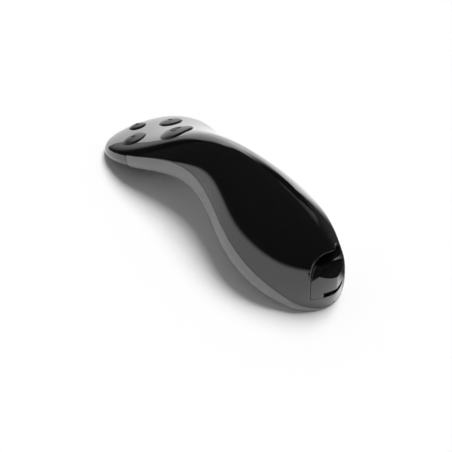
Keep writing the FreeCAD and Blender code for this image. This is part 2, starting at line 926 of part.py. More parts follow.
def make_receiver():
    """The radio receiver that closes the tail, with its scoop above and nail notch below."""
    outline = arch_prism("receiver_outline", 0, tail_back)
    blank = common("receiver_blank", [outer_whole, outline])
    across = "sizes.receiver_half_width * 2"
    ramp_end = from_tail(size("scoop_front"))
    ramp_place = turned(0, ramp_end, size("scoop_sill"), size("scoop_tilt"))
    ramp_place = shifted(ramp_place, 0, -size("overrun"), 0)
    ramp = box("scoop_ramp", across, "sizes.overrun * 2", "sizes.overrun", ramp_place)
    front_place = turned(0, ramp_end - size("overrun"), 0, 0)
    front = box("scoop_before", across, "sizes.overrun", "sizes.overrun", front_place)
    shelf_place = turned(0, from_tail(size("scoop_depth")) - size("overrun"), size("scoop_crest"), 0)
    shelf = box("scoop_shelf", across, "sizes.overrun", "sizes.arch_rise", shelf_place)
    scoop = fuse("scoop", [common("scoop_slope", [ramp, front]), shelf])
    notch = box("nail_notch", "sizes.notch_width", "sizes.overrun", "sizes.notch_height", LEVEL_PLACE)
    notch_y = from_tail(size("notch_depth")) - size("overrun")
    notch.Placement = turned(-size("notch_width") / 2, notch_y, size("receiver_sill"), 0)
    hollow = box("receiver_hollow", "sizes.cavity_width", "sizes.overrun", "sizes.cavity_height", LEVEL_PLACE)
    hollow_z = size("plug_centre") - size("cavity_height") / 2
    hollow.Placement = turned(-size("cavity_width") / 2, from_tail(size("cavity_front")), hollow_z, 0)
    tools = fuse("receiver_cuts", [scoop, notch, hollow])
    keep("receiver_case", cut("receiver_case", blank, tools))


def plug_place(y):
    """A placement on the plug's middle line."""
    return FreeCAD.Placement(FreeCAD.Vector(0, y, size("plug_centre")), LEVEL)


def rectangle_sketch(body, name, across, up):
    """A centred rectangle on the body's XZ plane, its two sizes tied to the sheet."""
    sketch = body.newObject("Sketcher::SketchObject", name)
    plane = [feature for feature in body.Origin.OriginFeatures if feature.Role == "XZ_Plane"][0]
    sketch.AttachmentSupport = [(plane, "")]
    sketch.MapMode = "FlatFace"
    unit = size("plug_wall")
    corners = [(-unit, -unit), (unit, -unit), (unit, unit), (-unit, unit)]
    points = [FreeCAD.Vector(x, z, 0) for x, z in corners]
    for start, end in zip(points, points[1:] + points[:1]):
        sketch.addGeometry(Part.LineSegment(start, end))
    for side in range(4):
        sketch.addConstraint(Sketcher.Constraint("Coincident", side, 2, (side + 1) % 4, 1))
    for side, kind in enumerate(("Horizontal", "Vertical", "Horizontal", "Vertical")):
        sketch.addConstraint(Sketcher.Constraint(kind, side))
    sketch.addConstraint(Sketcher.Constraint("Symmetric", 0, 1, 2, 1, -1, 1))
    wide = sketch.addConstraint(Sketcher.Constraint("DistanceX", 0, 1, 0, 2, 2 * unit))
    tall = sketch.addConstraint(Sketcher.Constraint("DistanceY", 1, 1, 1, 2, 2 * unit))
    sketch.setExpression(f"Constraints[{wide}]", across)
    sketch.setExpression(f"Constraints[{tall}]", up)
    return sketch


def padded_rectangle(name, across, up, length):
    """A body padded along +Y from a centred rectangle."""
    body = doc.addObject("PartDesign::Body", name)
    sketch = rectangle_sketch(body, f"{name}_outline", across, up)
    pad = body.newObject("PartDesign::Pad", f"{name}_pad")
    pad.Profile = sketch
    pad.Reversed = True
    pad.setExpression("Length", length)
    sketch.Visibility = False
    return body


def pocketed(body, across, up):
    """Open a body from end to end with a centred rectangle."""
    sketch = rectangle_sketch(body, f"{body.Name}_bore", across, up)
    pocket = body.newObject("PartDesign::Pocket", f"{body.Name}_pocket")
    pocket.Profile = sketch
    pocket.Type = "ThroughAll"
    pocket.Reversed = False
    pocket.Midplane = True
    return body


def make_plug():
    """The plug: folded metal shell, insulating tongue and four contacts."""
    start = tail_back - size("plug_root")
    full = "sizes.plug_length + sizes.receiver_back + sizes.plug_root"
    shell = padded_rectangle("plug_shell", "sizes.plug_width", "sizes.plug_height", full)
    pocketed(shell, "sizes.plug_width - sizes.plug_wall * 2", "sizes.plug_height - sizes.plug_wall * 2")
    shell.Placement = plug_place(start)
    keep("usb_plug_shell", shell)
    tongue = padded_rectangle(
        "plug_tongue",
        "sizes.plug_width - sizes.plug_wall * 2 - sizes.receiver_gap",
        "sizes.tongue_height",
        full + " - sizes.plug_wall * 2",
    )
    tongue_rise = size("plug_height") / 2 - size("plug_wall") - size("tongue_height") / 2
    tongue.Placement = shifted(plug_place(start + size("plug_wall")), 0, 0, tongue_rise)
    keep("usb_tongue", tongue)
    strips = []
    for number, step in enumerate((-3 / 2, -1 / 2, 1 / 2, 3 / 2)):
        strip = box(f"contact_{number}", "sizes.contact_width", "sizes.contact_length", "sizes.contact_thickness",
                    LEVEL_PLACE)
        strip_y = tail_back + size("receiver_back") + size("plug_length") - size("contact_length") - size("wall")
        strip_z = tongue_rise - size("tongue_height") / 2 - size("contact_thickness")
        place = plug_place(strip_y)
        strip.Placement = shifted(place, step * size("contact_pitch") - size("contact_width") / 2, 0, strip_z)
        strips.append(strip)
    keep("usb_contacts", group("usb_contacts", strips))


def make_receiver_inside():
    """The receiver's back wall, its small board and its chip."""
    outline = arch_prism("back_outline", 0, tail_back + size("receiver_back"))
    slice_block = box("back_slice", "sizes.receiver_half_width * 3", "sizes.receiver_back", "sizes.overrun", LEVEL_PLACE)
    slice_block.Placement = turned(-size("receiver_half_width") * 3 / 2, tail_back, 0, 0)
    plate = common("back_plate", [outline, slice_block])
    hole = box("back_hole", "sizes.plug_width", "sizes.overrun", "sizes.plug_height", LEVEL_PLACE)
    hole_z = size("plug_centre") - size("plug_height") / 2
    hole.Placement = turned(-size("plug_width") / 2, tail_back - size("wall"), hole_z, 0)
    keep("receiver_back", cut("receiver_back", plate, hole))
    board = box(
        "small_board",
        "sizes.cavity_width - sizes.fit_gap",
        "sizes.receiver_board_length - sizes.plug_root",
        "sizes.receiver_board_thickness",
        LEVEL_PLACE,
    )
    board_y = from_tail(size("cavity_front")) + size("receiver_gap")
    board_x = -(size("cavity_width") - size("fit_gap")) / 2
    board.Placement = turned(board_x, board_y, size("plug_centre"), 0)
    keep("receiver_board", board)
    chip = box("small_chip", "sizes.receiver_chip_side", "sizes.receiver_chip_side / 2", "sizes.receiver_chip_height",
               LEVEL_PLACE)
    chip_z = size("plug_centre") + size("receiver_board_thickness")
    chip.Placement = turned(-size("receiver_chip_side") / 2, board_y + size("fit_gap"), chip_z, 0)
    keep("receiver_chip", chip)


def make_receiver_bay():
    """The fixed pocket that holds the plug, standing on the lower shell's floor."""
    start = from_tail(size("bay_start"))
    plug_end = tail_back + size("receiver_back") + size("plug_length")
    top = size("plug_centre") + size("plug_height") / 2 + size("bay_gap") + size("bay_wall")
    block = box("bay_block", "sizes.bay_width", "sizes.overrun", "sizes.overrun", LEVEL_PLACE)
    block.setExpression("Width", None)
    block.Width = plug_end + size("bay_gap") + size("bay_wall") - start
    block.Placement = turned(-size("bay_width") / 2, start, top - size("overrun"), 0)
    channel = box("bay_channel", "sizes.plug_width + sizes.bay_gap * 2", "sizes.overrun",
                  "sizes.plug_height + sizes.bay_gap * 2", LEVEL_PLACE)
    channel_x = -size("plug_width") / 2 - size("bay_gap")
    channel_z = size("plug_centre") - size("plug_height") / 2 - size("bay_gap")
    channel.Placement = turned(channel_x, plug_end + size("bay_gap") - size("overrun"), channel_z, 0)
    core = box("bay_core", "sizes.bay_width - sizes.bay_wall * 2", "sizes.overrun", "sizes.overrun", LEVEL_PLACE)
    core.setExpression("Width", None)
    core.Width = plug_end + size("bay_gap") - start - size("bay_wall")
    core_z = channel_z - size("bay_wall") - size("overrun")
    core.Placement = turned(size("bay_wall") - size("bay_width") / 2, start + size("bay_wall"), core_z, 0)
    bay = cut("bay_cut", block, fuse("bay_hollows", [channel, core]))
    keep("receiver_bay", common("receiver_bay", [bay, inner_space]))
    switch_y = tail_back + size("receiver_back") + size("dock_nub_gap") + size("dock_nub_radius") * 2
    switch = box("switch_body", "sizes.dock_switch_width", "sizes.dock_switch_length", "sizes.dock_switch_height",
                 LEVEL_PLACE)
    switch.Placement = turned(-size("dock_switch_width") / 2, switch_y, top, 0)
    nub = rod("switch_nub", "sizes.dock_nub_radius", "sizes.dock_nub_radius * 2 + sizes.dock_nub_gap", LEVEL_PLACE)
    nub.Placement = turned(0, switch_y + size("dock_nub_gap"), top + size("dock_switch_height") / 2, 90)
    keep("dock_switch", fuse("dock_switch", [switch, nub]))


# Cells and tray, in a frame that leans with the belly

cell_offset = size("cell_radius") + size("cell_gap") / 2
tray_inside = size("cell_length") + size("spring_space") + 2 * size("plate_thickness")
tray_length = tray_inside + 2 * size("tray_end_wall")
tray_y = from_tail(size("tray_start"))
tray_lean = math.tan(math.radians(size("tray_tilt")))


def floor_height(y):
    """Height of the inner floor with its clearance, under a cell's middle line."""
    return inner_floor(cell_offset, y) + size("fit_gap")


tray_steps = [tray_y + tray_length * step / 20 for step in range(21)]
tray_z = max(floor_height(y) - (y - tray_y) * tray_lean for y in tray_steps)
tray_place = turned(0, tray_y, tray_z, size("tray_tilt"))
spring_turns = 3
cell_rise = size("cell_radius") + size("cell_gap")
inside_y = size("tray_end_wall") + size("plate_thickness")


def make_cells():
    """Two AAA cells side by side, end for end, each pushed against its contact by a spring."""
    cells = []
    for side in (-1, 1):
        to_head = side < 0
        base_y = inside_y + (size("spring_space") if to_head else size("cell_length"))
        turn = FreeCAD.Rotation(FreeCAD.Vector(1, 0, 0), -90 if to_head else 90)
        place = tray_place.multiply(FreeCAD.Placement(FreeCAD.Vector(side * cell_offset, base_y, cell_rise), turn))
        can = rod(f"can_{side + 1}", "sizes.cell_radius", "sizes.cell_length - sizes.cell_nub_length", place)
        nub = rod(f"nub_{side + 1}", "sizes.cell_nub_radius", "sizes.cell_length", place)
        cells.append(fuse(f"cell_{side + 1}", [can, nub]))
    return keep("aaa_cells", group("aaa_cells", cells))


def make_tray():
    """The cell tray: roof, two sides and two end walls, open to the door below."""
    half = cell_offset + size("cell_radius") + size("cell_gap")
    roof = cell_rise + size("cell_radius") + size("cell_gap")
    block = box("tray_block", "sizes.overrun", "sizes.overrun", "sizes.overrun", LEVEL_PLACE)
    bind(block, {"Length": None, "Width": None})
    block.Length = 2 * (half + size("tray_wall"))
    block.Width = tray_length
    lift = roof + size("tray_wall") - size("overrun")
    block.Placement = shifted(tray_place, -half - size("tray_wall"), 0, lift)
    well = box("tray_well", "sizes.overrun", "sizes.overrun", "sizes.overrun", LEVEL_PLACE)
    bind(well, {"Length": None, "Width": None})
    well.Length = 2 * half
    well.Width = tray_inside
    well.Placement = shifted(tray_place, -half, size("tray_end_wall"), roof - size("overrun"))
    holes = []
    for side in (-1, 1):
        hole = rod(f"lead_hole_{side + 1}", "sizes.lead_radius + sizes.receiver_gap", "sizes.tray_end_wall * 3",
                   LEVEL_PLACE)
        hole.Placement = lead_start(side, -2 * size("tray_end_wall")).multiply(turned(0, 0, 0, -90))
        holes.append(hole)
    tray = cut("tray_cut", block, fuse("tray_hollows", [well] + holes))
    return keep("battery_tray", common("battery_tray", [tray, inner_space]))


def coil_path(radius, height, quarters):
    """A coil as arcs of a quarter turn that climb evenly."""

    def at(quarter):
        turn = quarter * math.pi / 2
        return FreeCAD.Vector(radius * math.cos(turn), radius * math.sin(turn), height * quarter / quarters)

    arcs = [Part.Arc(at(i), at(i + 1 / 2), at(i + 1)).toShape() for i in range(quarters)]
    return Part.Wire(arcs)


def make_springs():
    """A coil spring behind each cell's flat end."""
    springs = []
    for side in (-1, 1):
        to_head = side < 0
        wire_radius = size("spring_wire")
        height = size("spring_space") - 2 * wire_radius
        path = coil_path(size("spring_radius"), height, 4 * spring_turns)
        first = path.Edges[0]
        start = first.valueAt(first.FirstParameter)
        ring = Part.Wire([Part.makeCircle(wire_radius, start, first.tangentAt(first.FirstParameter))])
        coil = doc.addObject("Part::Feature", f"spring_{side + 1}")
        coil.Shape = path.makePipeShell([ring], True, False)
        base_y = inside_y + (wire_radius if to_head else size("cell_length") + wire_radius)
        turn = FreeCAD.Rotation(FreeCAD.Vector(1, 0, 0), -90)
        coil.Placement = tray_place.multiply(FreeCAD.Placement(FreeCAD.Vector(side * cell_offset, base_y, cell_rise), turn))
        springs.append(coil)
    return keep("cell_springs", group("cell_springs", springs))


def make_contact_plates():
    """The link plate at the tail end and the two terminal plates at the head end."""
    wide = 2 * cell_offset + size("cell_radius")
    link = box("link", "sizes.overrun", "sizes.plate_thickness", "sizes.plate_height", LEVEL_PLACE)
    link.setExpression("Length", None)
    link.Length = wide
    low = cell_rise - size("plate_height") / 2
    link.Placement = shifted(tray_place, -wide / 2, size("tray_end_wall"), low)
    keep("link_plate", link)
    plates = []
    for side in (-1, 1):
        plate = box(f"terminal_{side + 1}", "sizes.plate_height", "sizes.plate_thickness", "sizes.plate_height",
                    LEVEL_PLACE)
        plate_x = side * cell_offset - size("plate_height") / 2
        plate.Placement = shifted(tray_place, plate_x, inside_y + tray_inside - 2 * size("plate_thickness"), low)
        plates.append(plate)
    keep("terminal_plates", group("terminal_plates", plates))


def lead_start(side, back):
    """Where a battery lead leaves its terminal plate through the tray's end wall."""
    lead_y = tray_length - size("tray_end_wall") + back
    return shifted(tray_place, side * size("lead_offset"), lead_y, cell_rise + size("plate_height") / 4)


def make_leads():
    """Two insulated leads from the terminals to the board's rear edge."""
    leads = []
    for side in (-1, 1):
        start = lead_start(side, 0).Base
        heading = tray_place.Rotation.multVec(FreeCAD.Vector(0, 1, 0))
        end_z = board_height(board_rear_y) - size("board_thickness") / 2
        end = FreeCAD.Vector(start.x, board_rear_y - size("fit_gap"), end_z)
        middle = start + heading * ((end.y - start.y) / 2)
        into = (start - middle).normalize()
        out = (end - middle).normalize()
        turn = math.pi - into.getAngle(out)
        reach = size("lead_bend") * math.tan(turn / 2)
        first = middle + into * reach
        last = middle + out * reach
        inward = (into + out).normalize()
        crest = middle + inward * (size("lead_bend") / math.cos(turn / 2) - size("lead_bend"))
        path = Part.Wire(
            [
                Part.LineSegment(start, first).toShape(),
                Part.Arc(first, crest, last).toShape(),
                Part.LineSegment(last, end).toShape(),
            ]
        )
        ring = Part.Wire([Part.makeCircle(size("lead_radius"), start, middle - start)])
        lead = doc.addObject("Part::Feature", f"lead_{side + 1}")
        lead.Shape = path.makePipeShell([ring], True, False)
        leads.append(lead)
    return keep("battery_leads", group("battery_leads", leads))


# Shells

door_end_y = tray_length + size("door_lead")
door_edge = shifted(tray_place, 0, door_end_y - size("door_gap"), 0).Base
for _ in range(8):
    door_edge = door_edge + tray_place.Rotation.multVec(
        FreeCAD.Vector(0, 0, bottom_height(0, door_edge.y) - door_edge.z)
    )
hinge_y = door_edge.y
hinge_z = door_edge.z


def door_box(name, gap):
    """The door's place as an upright box in the tray's frame, drawn in by a gap."""
    block = box(name, "sizes.door_width", "sizes.overrun", "sizes.overrun", LEVEL_PLACE)
    bind(block, {"Length": None, "Width": None})
    block.Length = size("door_width") - 2 * gap
    block.Width = door_end_y - 2 * gap
    block.Placement = shifted(tray_place, gap - size("door_width") / 2, gap, size("wall") * 2 - size("overrun"))
    return block


def nose_block(name, gap):
    """Everything ahead of the leaning joint between the lower shell and the nose cover."""
    joint_y = from_tip(size("nose_length"))
    joint_z = rim_height(share_of(joint_y))
    block = box(name, "sizes.overrun * 3", "sizes.overrun * 3", "sizes.overrun * 3", LEVEL_PLACE)
    place = turned(0, joint_y, joint_z, -size("nose_lean"))
    block.Placement = shifted(place, -size("overrun") * 3 / 2, -gap, -size("overrun") * 3 / 2)
    return block


def make_ribs():
    """Ribs that carry the board, up to its underside."""
    ribs = []
    for number, inset in enumerate(("rib_inset", "rear_rib_inset")):
        for side in (-1, 1):
            rib = box(f"rib_{number}_{side + 1}", "sizes.rib_thickness", "sizes.rib_length", "sizes.overrun",
                      LEVEL_PLACE)
            x = side * (size("board_width") / 2 - size("rib_thickness"))
            y = from_tip(size(inset))
            top = board_height(y)
            rib.Placement = turned(x - size("rib_thickness") / 2, y, top - size("overrun"), 0)
            ribs.append(rib)
    over = box("over_board", "sizes.rim_width * 2", "sizes.overrun * 2", "sizes.overrun", LEVEL_PLACE)
    place = board_place(0, board_rear_y, size("board_thickness") + size("receiver_gap"))
    over.Placement = shifted(place, -size("rim_width"), -size("overrun") / 2, 0)
    return cut("ribs", fuse("rib_blocks", ribs), over)


def make_lower_parts():
    """The lower shell, the nose cover in front of it and the battery door in its belly."""
    bowl = cut("lower_bowl", outer_lower, cavity)
    supports = common("lower_supports", [fuse("lower_blocks", make_posts() + [make_ribs()]), mid_wall])
    table = box("table", "sizes.rim_width * 2", "sizes.body_length * 2", "sizes.overrun", LEVEL_PLACE)
    table.Placement = turned(-size("rim_width"), -size("body_length"), FAR_BELOW, 0)
    tools = fuse("lower_cuts", make_screw_holes() + [table])
    full = cut("lower_full", fuse("lower_sum", [bowl, supports]), tools)
    nose = common("nose", [full, nose_block("nose_front", 0)])
    keep("nose_window", nose)
    openings = fuse("lower_openings", [nose_block("nose_clear", size("nose_gap")), door_box("door_opening", 0)])
    keep("lower_shell", cut("lower_shell", full, openings))
    panel = common("door_panel", [cut("door_skin", outer_lower, cavity), door_box("door_outline", size("door_gap"))])
    hooks = []
    inner = inner_floor(size("hook_offset") + size("hook_width") / 2, hinge_y - size("hook_root"))
    for side in (-1, 1):
        arm = box(f"hook_arm_{side + 1}", "sizes.hook_width", "sizes.hook_root + sizes.hook_reach",
                  "sizes.hook_thickness", LEVEL_PLACE)
        x = side * size("hook_offset") - size("hook_width") / 2
        root_y = hinge_y - size("hook_root")
        arm.Placement = turned(x, root_y, inner + size("hook_gap"), 0)
        foot = box(f"hook_foot_{side + 1}", "sizes.hook_width", "sizes.hook_root / 2",
                   "sizes.wall + sizes.hook_gap", LEVEL_PLACE)
        foot.Placement = turned(x, root_y, inner - size("wall"), 0)
        hooks += [arm, foot]
    grooves = []
    for number in range(3):
        groove = box(f"thumb_groove_{number}", "sizes.thumb_groove_width", "sizes.thumb_groove_depth",
                     "sizes.thumb_groove_depth * 2", LEVEL_PLACE)
        groove_y = tray_y + (number + 2) * size("thumb_groove_pitch")
        groove_z = bottom_height(0, groove_y) - size("thumb_groove_depth")
        groove.Placement = turned(-size("thumb_groove_width") / 2, groove_y, groove_z, 0)
        grooves.append(groove)
    keep("battery_door", cut("battery_door", fuse("door_sum", [panel] + hooks), fuse("grooves", grooves)))


def make_upper_shell():
    """The glossy upper shell with its bosses, four button holes and the receiver's arch."""
    lid = cut("upper_lid", outer_upper, cavity)
    bosses = common("upper_bosses", [fuse("boss_blocks", make_bosses()), mid_wall])
    opening = arch_prism("receiver_opening", 1, from_tail(size("bay_start")))
    tools = fuse("upper_cuts", make_pilots() + make_button_holes() + [opening])
    return keep("upper_shell", cut("upper_shell", fuse("upper_sum", [lid, bosses]), tools))


make_lower_parts()
make_upper_shell()
make_case_screws()
make_main_board()
make_board_parts()
make_snap_domes()
for button_name in button_places:
    make_button(button_name)
make_laser()
make_receiver()
make_receiver_inside()
make_plug()
make_receiver_bay()
make_cells()
make_tray()
make_springs()
make_contact_plates()
make_leads()
doc.recompute()

# Checks, then one STEP file for each sub-part

for item in doc.Objects:
    if "Invalid" in item.State or "Error" in item.State:
        raise RuntimeError(f"{item.Name} failed: {item.State}")
for label, feature in nodes.items():
    shape = feature.Shape
    if shape.isNull() or not shape.isValid():
        raise RuntimeError(f"{label} has no valid shape")
    shape.exportStep(f"parts/{label}.step")
    limits = shape.BoundBox
    print(
        f"{label}: {len(shape.Solids)} solids, {shape.Volume:.1f} mm3,",
        f"X {limits.XMin:.2f} {limits.XMax:.2f}",
        f"Y {limits.YMin:.2f} {limits.YMax:.2f}",
        f"Z {limits.ZMin:.2f} {limits.ZMax:.2f}",
    )
for button_name in button_places:
    point, normal = button_axis(button_name)
    print(button_name, "axis", [round(number, 4) for number in normal])
print("door hinge", round(hinge_y, 3), round(hinge_z, 3))
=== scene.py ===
# %% [markdown]
# # A wireless presentation clicker
# This lesson dresses a CAD model in Blender. The CAD model gives every piece its place and says
# what moves. Blender gives the smooth gloss, the satin underside and the light. The clicker lies
# on its tail and its nose, with its back arched, and a small radio receiver closes its tail.

import json
import math

import bpy
import numpy as np
from mathutils import Matrix, Vector

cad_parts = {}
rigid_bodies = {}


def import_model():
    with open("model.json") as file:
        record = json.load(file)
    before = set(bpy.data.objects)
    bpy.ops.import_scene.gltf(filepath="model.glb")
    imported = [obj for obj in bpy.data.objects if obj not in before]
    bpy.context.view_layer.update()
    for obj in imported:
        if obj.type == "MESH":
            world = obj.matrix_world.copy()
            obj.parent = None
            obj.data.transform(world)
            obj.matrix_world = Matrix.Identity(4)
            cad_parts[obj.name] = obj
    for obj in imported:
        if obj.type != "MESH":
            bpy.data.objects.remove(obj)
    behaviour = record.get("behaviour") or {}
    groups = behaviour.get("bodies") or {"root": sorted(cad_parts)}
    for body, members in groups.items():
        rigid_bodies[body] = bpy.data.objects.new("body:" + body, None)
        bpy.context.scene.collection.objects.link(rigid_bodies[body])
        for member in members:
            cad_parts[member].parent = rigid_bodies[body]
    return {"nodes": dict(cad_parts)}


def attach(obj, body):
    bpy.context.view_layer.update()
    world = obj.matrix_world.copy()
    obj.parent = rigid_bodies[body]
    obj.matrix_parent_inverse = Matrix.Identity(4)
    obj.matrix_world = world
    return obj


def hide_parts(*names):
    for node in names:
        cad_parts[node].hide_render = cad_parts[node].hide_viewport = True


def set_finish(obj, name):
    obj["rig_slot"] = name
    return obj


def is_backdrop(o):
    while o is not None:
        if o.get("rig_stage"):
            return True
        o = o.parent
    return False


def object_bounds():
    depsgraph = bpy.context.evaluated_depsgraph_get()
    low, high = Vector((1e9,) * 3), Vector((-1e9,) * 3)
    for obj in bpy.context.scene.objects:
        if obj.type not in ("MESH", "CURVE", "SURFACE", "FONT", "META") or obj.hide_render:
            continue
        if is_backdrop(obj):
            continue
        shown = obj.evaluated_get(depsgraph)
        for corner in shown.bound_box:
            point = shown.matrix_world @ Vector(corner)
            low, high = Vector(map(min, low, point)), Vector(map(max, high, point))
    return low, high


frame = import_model()
nodes = frame["nodes"]
cad_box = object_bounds()
MM = 0.001
print("CAD nodes:", len(nodes))

# %% [markdown]
# ## The body lines
# The body is one flowing skin, split by a fine seam. Seen from above and from the side, it
# follows a few smooth lines: half its width, the height of its rim, how far the top stands over
# the rim and how far the belly hangs below it. They could be drawn as curve objects, but a line
# through a few chosen places, as a draughtsman bends a thin strip of wood through pins, can be
# read and changed by hand. Shares of the body's own sizes keep its proportions.

# %% Sizes
BODY_LENGTH = 136.5
RIM_WIDTH = 44.0
BODY_HEIGHT = 39.5
REST_FLAT = 0.25
WALL = 1.5
SEAM_GAP = 0.12
EDGE_ROUND = 0.28
TAIL = -BODY_LENGTH / 2
TIP = BODY_LENGTH / 2
print("body:", BODY_LENGTH, "mm long,", RIM_WIDTH, "mm wide,", BODY_HEIGHT, "mm high")

# %% The lines as shares
station_shares = (0.0, 0.12, 0.28, 0.44, 0.58, 0.72, 0.86, 1.0)
half_width_shares = (0.405, 0.845, 0.921, 0.642, 0.622, 0.888, 1.106, 1.377)
rim_height_shares = (0.017, 0.257, 0.471, 0.607, 0.585, 0.426, 0.235, 0.052)
crown_shares = (0.567, 0.569, 0.497, 0.365, 0.231, 0.1255, 0.067, 0.054)
belly_shares = (0.073, 0.2205, 0.307, 0.3215, 0.290, 0.2545, 0.198, 0.129)
shape_station_shares = (0.0, 0.1, 0.2, 0.3, 0.4, 0.5, 0.6, 0.7, 0.8, 1.0)
shoulder_shares = (0.55, 0.49, 0.44, 0.39, 0.36, 0.34, 0.345, 0.41, 0.44, 0.50)
flat_top_shares = (0.16, 0.18, 0.26, 0.295, 0.32, 0.335, 0.355, 0.41, 0.445, 0.515)
lean_shares = (0.16, 0.21, 0.24, 0.225, 0.19, 0.155, 0.14, 0.19, 0.185, 0.125)
width_end_shares = (0.0597, 0.2722)
crown_end_shares = (0.0536, 0.159)
belly_end_shares = (0.1307, 0.155)
widest = max(half_width_shares)
print("widest station at share", station_shares[half_width_shares.index(widest)], "of the length")


# %% A bent strip
def bent_strip(places, values):
    """A natural cubic curve: it passes through the values, and its slope and bend never jump.

    The bends at the inner places solve one small set of equations; at both ends they are zero.
    """
    places = np.array(places)
    values = np.array(values)
    gaps = np.diff(places)
    last = len(places) - 1
    system = np.eye(last + 1)
    loads = np.zeros(last + 1)
    inner = np.arange(1, last)
    system[inner, inner - 1] = gaps[:-1]
    system[inner, inner] = 2 * (gaps[:-1] + gaps[1:])
    system[inner, inner + 1] = gaps[1:]
    loads[inner] = 6 * np.diff(np.diff(values) / gaps)
    bends = np.linalg.solve(system, loads)

    def curve(share):
        i = np.clip(np.searchsorted(places, share, side="right") - 1, 0, last - 1)
        right = (share - places[i]) / gaps[i]
        left = 1 - right
        bend = (left**3 - left) * bends[i] + (right**3 - right) * bends[i + 1]
        return left * values[i] + right * values[i + 1] + bend * gaps[i] ** 2 / 6

    return curve


half_width_line = bent_strip(station_shares, half_width_shares)
rim_height_line = bent_strip(station_shares, rim_height_shares)
crown_line = bent_strip(station_shares, crown_shares)
belly_line = bent_strip(station_shares, belly_shares)
shoulder_line = bent_strip(shape_station_shares, shoulder_shares)
flat_top_line = bent_strip(shape_station_shares, flat_top_shares)
lean_line = bent_strip(shape_station_shares, lean_shares)
print("half width at the neck:", round(RIM_WIDTH / 2 * float(half_width_line(np.array(0.5))), 2), "mm")

# %% [markdown]
# ## The rounded ends and the cross section
# Both ends close like the end of an egg. A superellipse does this: it falls from one to nothing
# over the last stretch, slowly at first and then steeply.

# %% The rounded ends
WIDTH_POWER = 2.2
RISE_POWER = 2.0


def round_off(share, reach, power):
    """One far from the end, nothing at the end: (1 - left**power) ** (1 / power)."""
    left = np.clip(1 - share / reach, 0, 1)
    return (1 - left**power) ** (1 / power)


def both_ends(share, reaches, tip_power):
    """Round off at the tail and at the tip."""
    return round_off(share, reaches[0], WIDTH_POWER) * round_off(1 - share, reaches[1], tip_power)


def rim_height(share):
    """Height of the seam over the table, in mm."""
    return BODY_HEIGHT * rim_height_line(share) - REST_FLAT


print("seam at the neck:", round(float(rim_height(np.array(0.5))), 2), "mm over the table")

# %% [markdown]
# Across the body, each half of the section is one four-point curve that starts at the rim and ends
# level in the middle. The upper one leans in and forms a soft ridge, the lower one bulges out a
# little and runs flat. One function gives any point of the skin, so every piece that is cut from it
# runs on into its neighbour.

# %% The cross section
LEAST_SHARE = 0.3
BELLY_BULGE = 1.213
BELLY_FLAT = 0.924
BELLY_SHOULDER = 0.6945


def skin(share, across, upper=True, inset=0.0):
    """Points of the skin in mm.

    share runs from 0 at the tail to 1 at the tip, and across from -1 at the left rim over 0 in
    the middle to 1 at the right rim. Four poles give the half section. With step = 1 - |across|,
    their weights are (1 - step)**3, 3 step (1 - step)**2, 3 step**2 (1 - step) and step**3.
    """
    step = 1 - np.abs(across)
    wide = RIM_WIDTH / 2 * half_width_line(share) * both_ends(share, width_end_shares, WIDTH_POWER)
    wide = np.maximum(wide - inset, LEAST_SHARE * wide)
    weights = ((1 - step) ** 3, 3 * step * (1 - step) ** 2, 3 * step**2 * (1 - step), step**3)
    if upper:
        rise = BODY_HEIGHT * crown_line(share) * both_ends(share, crown_end_shares, RISE_POWER)
        rise = np.maximum(rise - inset, LEAST_SHARE * rise)
        outs = (1, 1 - lean_line(share), flat_top_line(share), 0)
        ups = (0, shoulder_line(share), 1, 1)
        height = rim_height(share) + SEAM_GAP / 2
    else:
        rise = -BODY_HEIGHT * belly_line(share) * both_ends(share, belly_end_shares, RISE_POWER)
        rise = np.minimum(rise + inset, LEAST_SHARE * rise)
        outs = (1, BELLY_BULGE, BELLY_FLAT, 0)
        ups = (0, BELLY_SHOULDER, 1, 1)
        height = rim_height(share) - SEAM_GAP / 2
    x = np.sign(across) * wide * sum(weight * out for weight, out in zip(weights, outs))
    z = height + rise * sum(weight * up for weight, up in zip(weights, ups))
    y = (share - 0.5) * BODY_LENGTH + 0 * x
    return np.stack([x, y, z], -1)


print("ridge at the neck:", np.round(skin(np.array(0.5), np.array(0.0)), 2), "mm")

# %% [markdown]
# Two more questions come up again and again: which way does the skin face, and how high is the top
# over a place on the table? The first is answered by two neighbouring slopes, the second by
# halving an interval until it is finer than any tool could cut.

# %% Directions and heights on the skin
SHARE_STEP = 1e-4
HALVINGS = 40


def skin_normal(share, across, upper=True):
    """Outward direction of the skin: the cross product of its two slopes."""
    share = np.clip(share, 4 * SHARE_STEP, 1 - 4 * SHARE_STEP)
    across = np.clip(across, SHARE_STEP - 1, 1 - SHARE_STEP)
    along = skin(share + SHARE_STEP, across, upper) - skin(share - SHARE_STEP, across, upper)
    over = skin(share, across + SHARE_STEP, upper) - skin(share, across - SHARE_STEP, upper)
    normal = np.cross(over, along) if upper else np.cross(along, over)
    return normal / np.linalg.norm(normal, axis=-1, keepdims=True)


def top_height(x, y):
    """Height of the top skin at x and y, found by halving the step between rim and middle."""
    share = np.asarray(y / BODY_LENGTH + 0.5, float)
    low = np.zeros_like(x + share)
    high = np.ones_like(low)
    for _ in range(HALVINGS):
        middle = (low + high) / 2
        inside = skin(share, middle)[..., 0] < np.abs(x)
        low = np.where(inside, middle, low)
        high = np.where(inside, high, middle)
    return skin(share, high)[..., 2]


print("top of the hump:", round(float(top_height(np.array(0.0), np.array(-18.0))), 2), "mm")

# %% [markdown]
# ## From a grid to a mesh
# A surface in numpy is a table of points. Each row is a closed ring, and neighbouring rows are
# joined by four-sided faces. A single point closes each end. Every corner also stores where it
# lies on the skin, in a UV map named skin. After holes are cut, that map still knows the exact
# place, so the exact direction of the skin can be given back to the shading. Glossy plastic shows
# the smallest ripple, and this keeps its reflections calm.


# %% Mesh helpers
OFF_SKIN = -5.0
SKIN_LIMIT = -2.0


